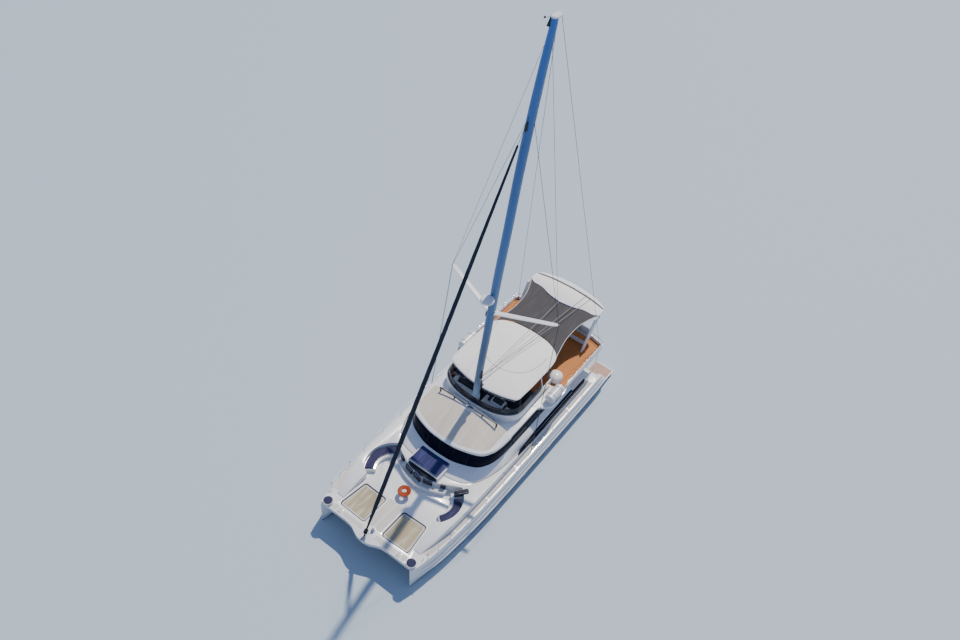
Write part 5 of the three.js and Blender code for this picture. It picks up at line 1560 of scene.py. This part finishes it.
side_line = curved(SHADE_SIDE, 10)
top_edge = [(y, x) for x, y in curved(SHADE_FORE, 10)]
fore_half = SHADE_SIDE[0][1]
aft_half = SHADE_SIDE[-1][1]
rows = spanned(
    lambda s: shade_point(along(top_edge, abs(fore_half * (1 - 2 * s))) - 0.004, fore_half * (1 - 2 * s)),
    lambda s: shade_point(along(ARCH_FRONT, abs(aft_half * (1 - 2 * s))) + 0.004, aft_half * (1 - 2 * s)),
    lambda t: shade_point(*path_point(side_line, t)),
    lambda t: shade_point(*path_point(mirrored(side_line, -1.0), t)),
    SHADE_STEPS, SHADE_STEPS)
for i, row in enumerate(rows):
    for j, point in enumerate(row):
        s, t = j / SHADE_STEPS, i / SHADE_STEPS
        hang = math.sin(math.pi * s) * math.sin(math.pi * t)
        folds = math.sin(21.0 * s - 7.0 * t) * math.sin(5.0 * t + 3.0 * s + 0.7)
        folds += 0.5 * math.sin(33.0 * s + 9.0 * t)
        point.z -= SHADE_SAG * hang + SHADE_WRINKLE * folds * math.sqrt(max(hang, 0.0)) * (0.5 + s)
shade_mesh = cloth_mesh(rows, SHADE_THICK)
shade = new_piece("shade_sheet", shade_mesh, shade_cloth, "mesh_shade")
hem_lines = [[row[index] for row in rows] for index in (0, -1)]
hem_ropes = new_piece("shade_hem_ropes", joined([tube(line, 0.022, 8) for line in hem_lines]), white_rope)

# Arch over the stern, a white moulded wing on two legs, with the mainsheet's track let into a slot.
# Two cars ride on the track, and a dark lamp hangs under each tip of the wing.
SLOT_LINE = ((-10.92, -2.86), (-11.05, -2.3), (-11.2, -1.3), (-11.27, 0.0), (-11.2, 1.3), (-11.05, 2.3),
             (-10.92, 2.86))
SLOT_FLOOR = 7.0705
CAR_PLACES = ((-11.21, 1.2), (-11.16, 1.62))
SOCKET = ((0.035, 0.0), (0.035, 0.05), (0.02, 0.06))
LAMP_PLACE = (-10.22, 3.0, 6.99)
LAMP = ((0.05, 0.0), (0.075, -0.03), (0.08, -0.12), (0.05, -0.17), (0.004, -0.18))

moulded("arch", top_paint, edge=0.014)
lining = bar([(x, y, SLOT_FLOOR) for x, y in curved(SLOT_LINE, 5)],
             ((-0.074, 0.0), (0.074, 0.0), (0.074, 0.006), (-0.074, 0.006)))
new_piece("slot_lining", lining, black_trim)
moulded("traveller_track", black_trim, edge=0.004, slot="wire")
cars = [box((x - 0.05, y - 0.11, 7.127), (x + 0.05, y + 0.11, 7.165), 0.012) for x, y in CAR_PLACES]
cars += [turned(SOCKET, (x, y, 7.16), sides=16) for x, y in CAR_PLACES]
new_piece("traveller_cars", joined(cars), black_trim)
lamps = [turned(LAMP, on_side(LAMP_PLACE, sign), sides=18) for sign in (1.0, -1.0)]
new_piece("arch_lamps", joined(lamps), black_trim)

# Liferafts, a ribbed white canister strapped into its chocks on each shoulder of the flybridge.
RAFT = (-3.6, 3.85, 4.92)
RAFT_END = ((0.003, -0.755), (0.22, -0.748), (0.325, -0.735), (0.362, -0.7))
RIB_PITCH = 0.112
RIB_RADII = (0.362, 0.378)
STRAPS = (-4.0, -3.2)
STRAP_RADIUS = 0.384

for side, sign in SIDES:
    centre = on_side(RAFT, sign)
    profile = list(RAFT_END)
    for index in range(12):
        start = -0.68 + index * RIB_PITCH
        for share, level_index in ((0.0, 0), (0.12, 1), (0.62, 1), (0.74, 0)):
            profile.append((RIB_RADII[level_index], start + share * RIB_PITCH))
    profile += [(radius, -height) for radius, height in reversed(RAFT_END)]
    new_piece("raft_canister_" + side, turned(profile, centre, (1, 0, 0), 40), gelcoat, "liferaft_" + side,
              slot="white_cover")
    straps = []
    chocks = []
    for x in STRAPS:
        ring = [(x, centre[1] + STRAP_RADIUS * math.cos(turn), centre[2] + STRAP_RADIUS * math.sin(turn))
                for turn in turns_of(40)]
        straps.append(tube(ring, 0.013, 6, closed=True))
        y = centre[1]
        chocks.append(box((x - 0.058, y - 0.24, FLY + 0.0005), (x + 0.058, y + 0.24, 4.66), 0.015))
    new_piece("raft_straps_" + side, joined(straps), black_trim)
    new_piece("raft_chocks_" + side, joined(chocks), stainless, "liferaft_" + side)

# Mast, an aft-raked oval tube from the flybridge to the masthead, in blue-grey paint under a painted
# reflection that deepens its blue with height and pales it low down over the decks.
# A white track and two white halyards run up it, and along its aft and port-aft edge they also stand in for
# the mast's narrow sunlit edge, a painted highlight; dark fittings sit low down, at the hounds and near the
# head.
MAST_LINE = ((4.5, 0.61), (5.75, 0.6), (7.2, 0.56), (8.65, 0.45), (10.9, 0.19), (16.0, -0.32), (19.6, -0.79),
             (23.0, -1.17), (25.3, -1.49), (27.7, -1.88), (29.9, -2.27), (32.2, -2.75))
MAST_TAPER = ((4.5, 0.86), (9.0, 0.88), (14.0, 0.98), (25.3, 0.98), (27.7, 0.93), (29.9, 0.84), (32.2, 0.71))
MAST_CHORD = 0.28
MAST_HALF_WIDTH = 0.26
MAST_FOOT = 4.502
MAST_HEAD = 32.199
# Blue-grey paint with painted reflection in it: deep sea blue high up, a pale reflection of the white decks
# low down.
MAST_PAINT_AND_REFLECTION = ((4.5, (0.44, 0.54, 0.64)), (6.2, (0.30, 0.40, 0.52)), (7.2, (0.11, 0.185, 0.27)),
                (9.5, (0.065, 0.125, 0.23)), (12.0, (0.06, 0.145, 0.29)), (15.0, (0.085, 0.195, 0.38)),
                (19.5, (0.042, 0.165, 0.39)), (25.0, (0.038, 0.14, 0.37)), (32.2, (0.033, 0.165, 0.48)))
HALYARD_ANGLES = (112.0, 126.0)
HALYARD_FOOT = 6.4
HALYARD_HEAD = 31.9
HOUNDS_Z = 26.9
FORESTAY_HEAD_X = -1.43
CRANE = (-3.22, -2.5)
MAST_FITTINGS = ((0.0, 26.2, 0.5, 0.09, 0.06), (180.0, 26.5, 0.45, 0.09, 0.06),
                 (-57.0, 31.72, 0.55, 0.13, 0.03), (75.0, 7.7, 0.6, 0.13, 0.05),
                 (120.0, 6.6, 0.6, 0.09, 0.09), (-80.0, 12.9, 0.3, 0.07, 0.07))


def mast_point(z, degrees=0.0, out=0.0):
    """A point on the mast's skin at this height and angle from its fore side towards port, lifted by out."""
    turn = math.radians(degrees)
    taper = along(MAST_TAPER, z)
    return Vector((along(MAST_LINE, z) + (MAST_CHORD * taper + out) * math.cos(turn),
                   (MAST_HALF_WIDTH * taper + out) * math.sin(turn), z))


def make_mast_paint_and_reflection():
    """Blue-grey mast paint with a painted reflection: its blue deepens with height, and it pales low down
    where the white decks would reflect.
    """
    finish = painted("mast_paint_and_reflection", (0.1, 0.2, 0.4, 1.0), (0.3, 0.34, 0.4, 1.0), soiling=0.12,
                     scale=0.4, roughness=0.42, coat=0.15)
    tree = finish.node_tree
    place = node(tree, "TexCoord").outputs["Object"]
    height = node(tree, "SeparateXYZ", {"Vector": place}).outputs["Z"]
    low, high = MAST_PAINT_AND_REFLECTION[0][0], MAST_PAINT_AND_REFLECTION[-1][0]
    ramp = node(tree, "ValToRGB", {"Fac": ranged(tree, height, low, high)})
    stops = ramp.color_ramp.elements
    for index, (z, colour) in enumerate(MAST_PAINT_AND_REFLECTION):
        place_of_stop = (z - low) / (high - low)
        stop = stops[0] if index == 0 else stops[-1] if z == high else stops.new(place_of_stop)
        stop.position = place_of_stop
        stop.color = (*colour, 1.0)
    return recoloured(finish, ramp.outputs["Color"])


mast_paint_and_reflection = make_mast_paint_and_reflection()
levels = sorted({MAST_FOOT, MAST_HEAD, *[z for z, _ in MAST_LINE[1:-1]]})
rings = [([mast_point(z, 9.0 * i).xy for i in range(40)], z) for z in levels]
mast_mesh = smoothed(ringed(rings), ROUND_ANGLE)
hounds_x = along(MAST_LINE, HOUNDS_Z)
tang = box((hounds_x + 0.1, -0.03, HOUNDS_Z), (FORESTAY_HEAD_X + 0.04, 0.03, HOUNDS_Z + 0.06), 0.006)
new_piece("mast_tube", joined([mast_mesh, tang]), mast_paint_and_reflection, "mast")
# The white track and halyards along the aft and port-aft face are also a painted highlight for the mast's
# sunlit edge.
luff_track_and_lit_edge = tube([mast_point(z, 180.0, 0.004) for z in levels[2:-1]], 0.03, 8)
new_piece("luff_track_and_lit_edge", luff_track_and_lit_edge, gelcoat, slot="spar_paint")
halyards_and_lit_edge = []
for degrees in HALYARD_ANGLES:
    line = [mast_point(HALYARD_FOOT, degrees, 0.01)]
    line += [mast_point(z, degrees, 0.02) for z in levels if 7.0 < z < 30.0]
    halyards_and_lit_edge.append(tube(line + [mast_point(HALYARD_HEAD, degrees, 0.0)], 0.016, 6))
new_piece("halyards_and_lit_edge", joined(halyards_and_lit_edge), white_rope)

collar = turned(((0.3, 0.0), (0.33, 0.03), (0.33, 0.3), (0.31, 0.36), (0.287, 0.38), (0.287, 1.24),
                 (0.27, 1.26)), (0.6, 0.0, MAST_FOOT), sides=40)
new_piece("mast_collar", collar, gelcoat)
fittings = [tube((mast_point(z, degrees, 0.02), mast_point(z + length, degrees, 0.02)), [low, high], 8)
            for degrees, z, length, low, high in MAST_FITTINGS]
new_piece("mast_fittings", joined(fittings), black_trim)
crane = plate(oblong(CRANE[0], -0.2, CRANE[1], 0.2, 0.18, 6), 32.203, 32.3, 0.04)
new_piece("masthead_crane", crane, gelcoat, slot="spar_paint")
sensor = [tube(((-2.6, -0.1, 32.22), (-2.5, -0.45, 32.1)), 0.01, 6),
          turned(((0.05, -0.03), (0.065, 0.0), (0.035, 0.06), (0.004, 0.08)), (-2.5, -0.45, 32.1), sides=16)]
new_piece("masthead_sensors", joined(sensor), black_trim)

# Spreaders, two tapered white arms of oval section that hold the shrouds away from the mast.
# Above them a closed white radar dome stands on a bracket on the mast's fore side.
SPREADER_Z = 13.3
SPREADER_TIP = (-1.4, 4.12, 13.9)
SPREADER_ROOT = (0.23, 0.06)
SPREADER_END = (0.175, 0.028)
SPREADER_STATIONS = (0.06, 0.25, 0.5, 0.75, 0.93, 1.0)
DOME_Z = 14.7
DOME = ((0.003, 0.0), (0.36, 0.0), (0.42, 0.03), (0.447, 0.075), (0.45, 0.12), (0.442, 0.165), (0.41, 0.21),
        (0.34, 0.248), (0.22, 0.27), (0.1, 0.278), (0.003, 0.28))


def skinned(rings):
    """A closed solid through rings of equally many points."""
    return smoothed(banded([point for ring in rings for point in ring], len(rings[0])), ROUND_ANGLE)


for side, sign in SIDES:
    root = Vector((along(MAST_LINE, SPREADER_Z) - 0.01, 0.0, SPREADER_Z))
    tip = Vector(on_side(SPREADER_TIP, sign))
    rings = []
    for share in SPREADER_STATIONS:
        middle = root.lerp(tip, share)
        chord, thick = (a + (b - a) * share for a, b in zip(SPREADER_ROOT, SPREADER_END))
        close = 0.6 if share == 1.0 else 1.0
        rings.append([middle + Vector((chord * close * math.cos(turn), 0.0, thick * close * math.sin(turn)))
                      for turn in turns_of(20)])
    new_piece("spreader_arm_" + side, skinned(rings), gelcoat, "spreader_" + side, slot="spar_paint")
dome_x = along(MAST_LINE, DOME_Z) + 0.71
bracket = athwart(((dome_x - 0.49, 14.645), (dome_x - 0.49, 14.7), (dome_x + 0.07, 14.7),
                   (dome_x + 0.02, 14.66)), -0.09, 0.09, 0.01)
new_piece("radar_dome", turned(DOME, (dome_x, 0.0, DOME_Z), sides=40, angle=math.radians(40.0)), gelcoat,
          "radome")
new_piece("radar_bracket", bracket, black_trim, "radome")

# Furled headsail, rolled dark on a foil that turns with a drum at the tack and a swivel under the hounds.
# The roll swells low down, and the sail's edge winds round it as a soft spiral.
TACK = Vector((12.02, 0.0, 2.14))
STAY_HEAD = Vector((FORESTAY_HEAD_X, 0.0, 26.892))
DRUM_FORM = ((0.04, 0.0), (0.042, 0.25), (0.145, 0.256), (0.15, 0.27), (0.15, 0.32), (0.092, 0.335),
             (0.088, 0.42), (0.145, 0.432), (0.15, 0.445), (0.148, 0.495), (0.06, 0.508))
ROLL = ((0.52, 0.06), (0.9, 0.07), (2.6, 0.146), (9.0, 0.16), (19.0, 0.126), (26.47, 0.068))
ROLL_STEP = 0.14
ROLL_SIDES = 18
SPIRAL_PITCH = 1.1
SPIRAL_RELIEF = 0.07
SAIL_BLACK = (0.012, 0.014, 0.028, 1.0)
SAIL_BLACK_PALE = (0.025, 0.028, 0.05, 1.0)

roll_cloth = woven("furled_sailcloth", SAIL_BLACK, SAIL_BLACK_PALE, (0.006, 0.006, 0.012, 1.0),
                   160.0, 0.1, roughness=0.8, sheen=0.02, bump=0.2)
stay = STAY_HEAD - TACK
stay_way = stay.normalized()
across_way = Vector((0.0, 1.0, 0.0))
up_way = stay_way.cross(across_way)
start, end = ROLL[0][0], stay.length - 1.7
rings = []
for reach in spread(start, end, int((end - start) / ROLL_STEP)):
    radius = along(ROLL, min(reach, ROLL[-1][0]))
    ring = []
    for turn in turns_of(ROLL_SIDES):
        phase = (turn / math.tau - reach / SPIRAL_PITCH) % 1.0
        spoke = across_way * math.cos(turn) + up_way * math.sin(turn)
        ring.append(TACK + stay_way * reach + spoke * (radius * (1.0 - SPIRAL_RELIEF * phase)))
    rings.append(ring)
new_piece("sail_roll", skinned(rings), roll_cloth, "furled_headsail", body="furled_headsail")
new_piece("furling_drum", turned(DRUM_FORM, TACK, stay_way, 32), black_trim, "furled_headsail",
          body="furled_headsail")
swivel = ((0.03, -1.72), (0.068, -1.68), (0.068, -1.52), (0.03, -1.44))
foil = tube((STAY_HEAD - stay_way * 1.6, STAY_HEAD), 0.013, 10)
new_piece("furling_swivel", joined([turned(swivel, STAY_HEAD, stay_way, 20), foil]), black_trim,
          "furled_headsail", body="furled_headsail")

# Standing rigging, dark wire shrouds over the spreader tips and backstays to the flybridge corners.
# Cap shrouds run beside them to the masthead, and taut ropes lead aft from the mast to the arch.
CHAINPLATE = (-0.3, 4.5, 2.03)
SHROUD_TIP = (-1.4, 4.1485, 13.9)
CAP_Z = 31.0
CAP_SHIFT = Vector((0.07, 0.0, 0.0))
BACKSTAY_FOOT = (-9.9, 3.74, 4.5005)
AFT_LINES = ((-11.05, 1.22, 7.15), (-11.15, 1.66, 7.15), (-9.39, 0.0, 7.15))
SHROUD_RADIUS = 0.013
CAP_RADIUS = 0.01
BACKSTAY_RADIUS = 0.012


def raised(point, height):
    """A point moved upwards by this height."""
    return point + Vector((0, 0, height))


for side, sign in SIDES:
    hounds = Vector((along(MAST_LINE, 26.6) - 0.06, 0.24 * sign, 26.6))
    tip = Vector(on_side(SHROUD_TIP, sign))
    plate_top = Vector(on_side(CHAINPLATE, sign))
    turn_way = (tip - plate_top).normalized()
    screw = [plate_top + turn_way * reach for reach in (0.1, 0.16, 0.5, 0.56)]
    wires = [tube((hounds, tip), SHROUD_RADIUS), tube((tip, plate_top), SHROUD_RADIUS),
             tube((raised(tip, -0.025), raised(tip, 0.025)), 0.027, 12),
             tube(screw, [0.014, 0.024, 0.024, 0.014], 10),
             turned(((0.04, -0.029), (0.04, 0.025), (0.03, 0.03)), plate_top, sides=16)]
    new_piece("shroud_wires_" + side, joined(wires), black_trim, "shroud_" + side, slot="wire")
    cap_head = Vector((along(MAST_LINE, CAP_Z), 0.18 * sign, CAP_Z))
    caps = [tube((cap_head, tip + CAP_SHIFT), CAP_RADIUS, 6),
            tube((tip + CAP_SHIFT, plate_top + CAP_SHIFT), CAP_RADIUS, 6),
            tube((cap_head - CAP_SHIFT * 2, cap_head), 0.03, 6)]
    new_piece("cap_shroud_" + side, joined(caps), black_trim, slot="wire")
    foot = Vector(on_side(BACKSTAY_FOOT, sign))
    head = Vector((CRANE[0] + 0.05, 0.1 * sign, 32.21))
    stay_wires = [tube((raised(foot, 0.02), head), BACKSTAY_RADIUS), turned(SOCKET, foot, sides=16)]
    new_piece("backstay_wire_" + side, joined(stay_wires), black_trim, "backstay_" + side, slot="wire")
ropes = [tube((mast_point(7.2, 180.0, 0.0), end_point), 0.02, 6) for end_point in AFT_LINES]
line_grey = painted("line_grey", (0.3, 0.29, 0.28, 1.0), (0.2, 0.19, 0.18, 1.0), soiling=0.3,
                    roughness=0.85)
new_piece("aft_lines", joined(ropes), line_grey)

# Guard rails, steel posts in deck sockets along both side decks with two taut wires through them.
# A red clamp sits on the post by each gate, and a small navigation light on the foremost post.
POSTS = (10.6, 9.7, 8.6, 7.0, 5.0, 3.0, 1.0, -1.0, -3.0, -5.0, -7.0, -9.0)
POST_HEIGHT = 0.62
POST_SOCKET = ((0.04, 0.001), (0.04, 0.008), (0.02, 0.014), (0.019, 0.07), (0.015, 0.075))
POST_CAP = ((0.012, -0.02), (0.016, -0.01), (0.014, 0.003), (0.004, 0.008))
CLAMP = ((0.016, 0.42), (0.03, 0.43), (0.03, 0.56), (0.016, 0.57))
SIDE_LIGHT = ((0.02, 0.0), (0.035, 0.005), (0.035, 0.06), (0.02, 0.07))
WIRE_HEIGHTS = ((0.61, 0.007), (0.31, 0.005))
GATE_POST = 2
RED = (0.42, 0.012, 0.01, 1.0)
GREEN = (0.01, 0.2, 0.05, 1.0)

red_plastic = painted("red_plastic", RED, (0.3, 0.05, 0.04, 1.0), soiling=0.2, roughness=0.4)
green_plastic = painted("green_plastic", GREEN, (0.08, 0.2, 0.1, 1.0), soiling=0.2,
                        roughness=0.4)
for side, sign in SIDES:
    feet = [Vector((x, sign * (along(DECK_EDGE, x) - 0.09), DECK)) for x in POSTS]
    steel = []
    for foot in feet:
        steel.append(tube((raised(foot, 0.001), raised(foot, POST_HEIGHT)), [0.0135, 0.012], 10))
        steel.append(turned(POST_SOCKET, foot, sides=14))
        steel.append(turned(POST_CAP, raised(foot, POST_HEIGHT), sides=10))
    for height, radius in WIRE_HEIGHTS:
        steel.append(tube([raised(foot, height) for foot in feet], radius, 6))
    new_piece("rail_steel_" + side, joined(steel), stainless, "guard_rail_" + side)
    new_piece("gate_clamp_" + side, turned(CLAMP, feet[GATE_POST], sides=12), red_plastic)
    lamp = turned(SIDE_LIGHT, feet[0] + Vector((0.045, 0, POST_HEIGHT - 0.1)), sides=14)
    new_piece("side_light_" + side, lamp, red_plastic if sign > 0 else green_plastic)

# Underwater gear, a foiled rudder on its stock, and a shaft with a three-bladed propeller under each hull.
# The rudders wear the hulls' matt bottom paint, the shafts are steel and the propellers bronze.
BLADE_LEVELS = ((-0.481, -10.11, -10.82), (-0.7, -10.125, -10.8), (-1.0, -10.155, -10.77),
                (-1.3, -10.19, -10.745), (-1.42, -10.215, -10.735), (-1.449, -10.26, -10.69))
BLADE_HALF = (0.044, 0.044, 0.042, 0.038, 0.028, 0.008)
FOIL = ((0.0, 0.0), (0.02, 0.42), (0.08, 0.78), (0.2, 0.99), (0.35, 1.0), (0.55, 0.8), (0.8, 0.4),
        (1.0, 0.06))
STOCK = (-10.3, 3.85)
STOCK_FOOT = -0.5
STOCK_HEAD = 0.149
STOCK_RADIUS = 0.0445
SHAFT_FOOT = (-8.3, 3.85, -1.01)
SHAFT_TILT = math.radians(7.0)
BRONZE = (0.42, 0.22, 0.07, 1.0)
HUB = ((0.02, -0.155), (0.05, -0.148), (0.062, -0.1), (0.074, -0.012), (0.06, -0.008))
BLADES = 3
FOIL_ANGLE = math.radians(40.0)
BLADE_ROWS = ((0.04, 0.05, 58.0), (0.1, 0.075, 50.0), (0.17, 0.092, 42.0), (0.24, 0.08, 36.0),
              (0.285, 0.045, 33.0), (0.298, 0.012, 32.0))

bottom_paint = painted("bottom_paint", BOTTOM_PAINT, (0.05, 0.06, 0.05, 1.0), soiling=0.5,
                       roughness=0.75, bump=0.2)
bronze = painted("bronze", BRONZE, (0.16, 0.2, 0.13, 1.0), soiling=0.5, scale=4.0, roughness=0.38,
                 metallic=1.0)
shaft_way = Vector((math.cos(SHAFT_TILT), 0.0, math.sin(SHAFT_TILT)))


def propeller_blade(foot, roll):
    """One twisted blade, in rings across its chord that follow the spoke outwards."""
    side_way = Vector((0.0, 1.0, 0.0))
    up_way = shaft_way.cross(side_way) * -1.0
    spoke = side_way * math.sin(roll) + up_way * math.cos(roll)
    across = shaft_way.cross(spoke)
    rings = []
    for reach, chord, pitch in BLADE_ROWS:
        lean = math.radians(pitch)
        along_chord = (shaft_way * math.sin(lean) + across * math.cos(lean)).normalized()
        thick_way = spoke.cross(along_chord)
        middle = foot - shaft_way * 0.08 + spoke * reach
        thick = 0.009 * (1.0 - reach / 0.34)
        rings.append([middle + along_chord * chord * math.cos(turn) + thick_way * thick * math.sin(turn)
                      for turn in turns_of(12)])
    return skinned(rings)


for side, sign in SIDES:
    rings = []
    middle_y = STOCK[1] * sign
    for (z, fore, aft), half in zip(BLADE_LEVELS, BLADE_HALF):
        port_half = [(fore + (aft - fore) * share, middle_y + half * bulge) for share, bulge in FOIL]
        other_half = [(x, 2 * middle_y - y) for x, y in reversed(port_half[1:])]
        rings.append((port_half + other_half, z))
    blade = smoothed(ringed(rings), FOIL_ANGLE)
    new_piece("rudder_blade_" + side, blade, bottom_paint, "rudder_" + side, body="rudder_" + side)
    stock = tube(((STOCK[0], middle_y, STOCK_FOOT), (STOCK[0], middle_y, STOCK_HEAD)), STOCK_RADIUS, 24)
    new_piece("rudder_stock_" + side, stock, stainless, "rudder_" + side, body="rudder_" + side)
    moulded("shaft_" + side, stainless, angle=ROUND_ANGLE)
    foot = Vector(on_side(SHAFT_FOOT, sign))
    blades = [propeller_blade(foot, roll) for roll in turns_of(BLADES)]
    hub = turned(HUB, foot, shaft_way, 28)
    new_piece("propeller_bronze_" + side, joined([hub] + blades), bronze, "propeller_" + side,
              body="propeller_" + side)
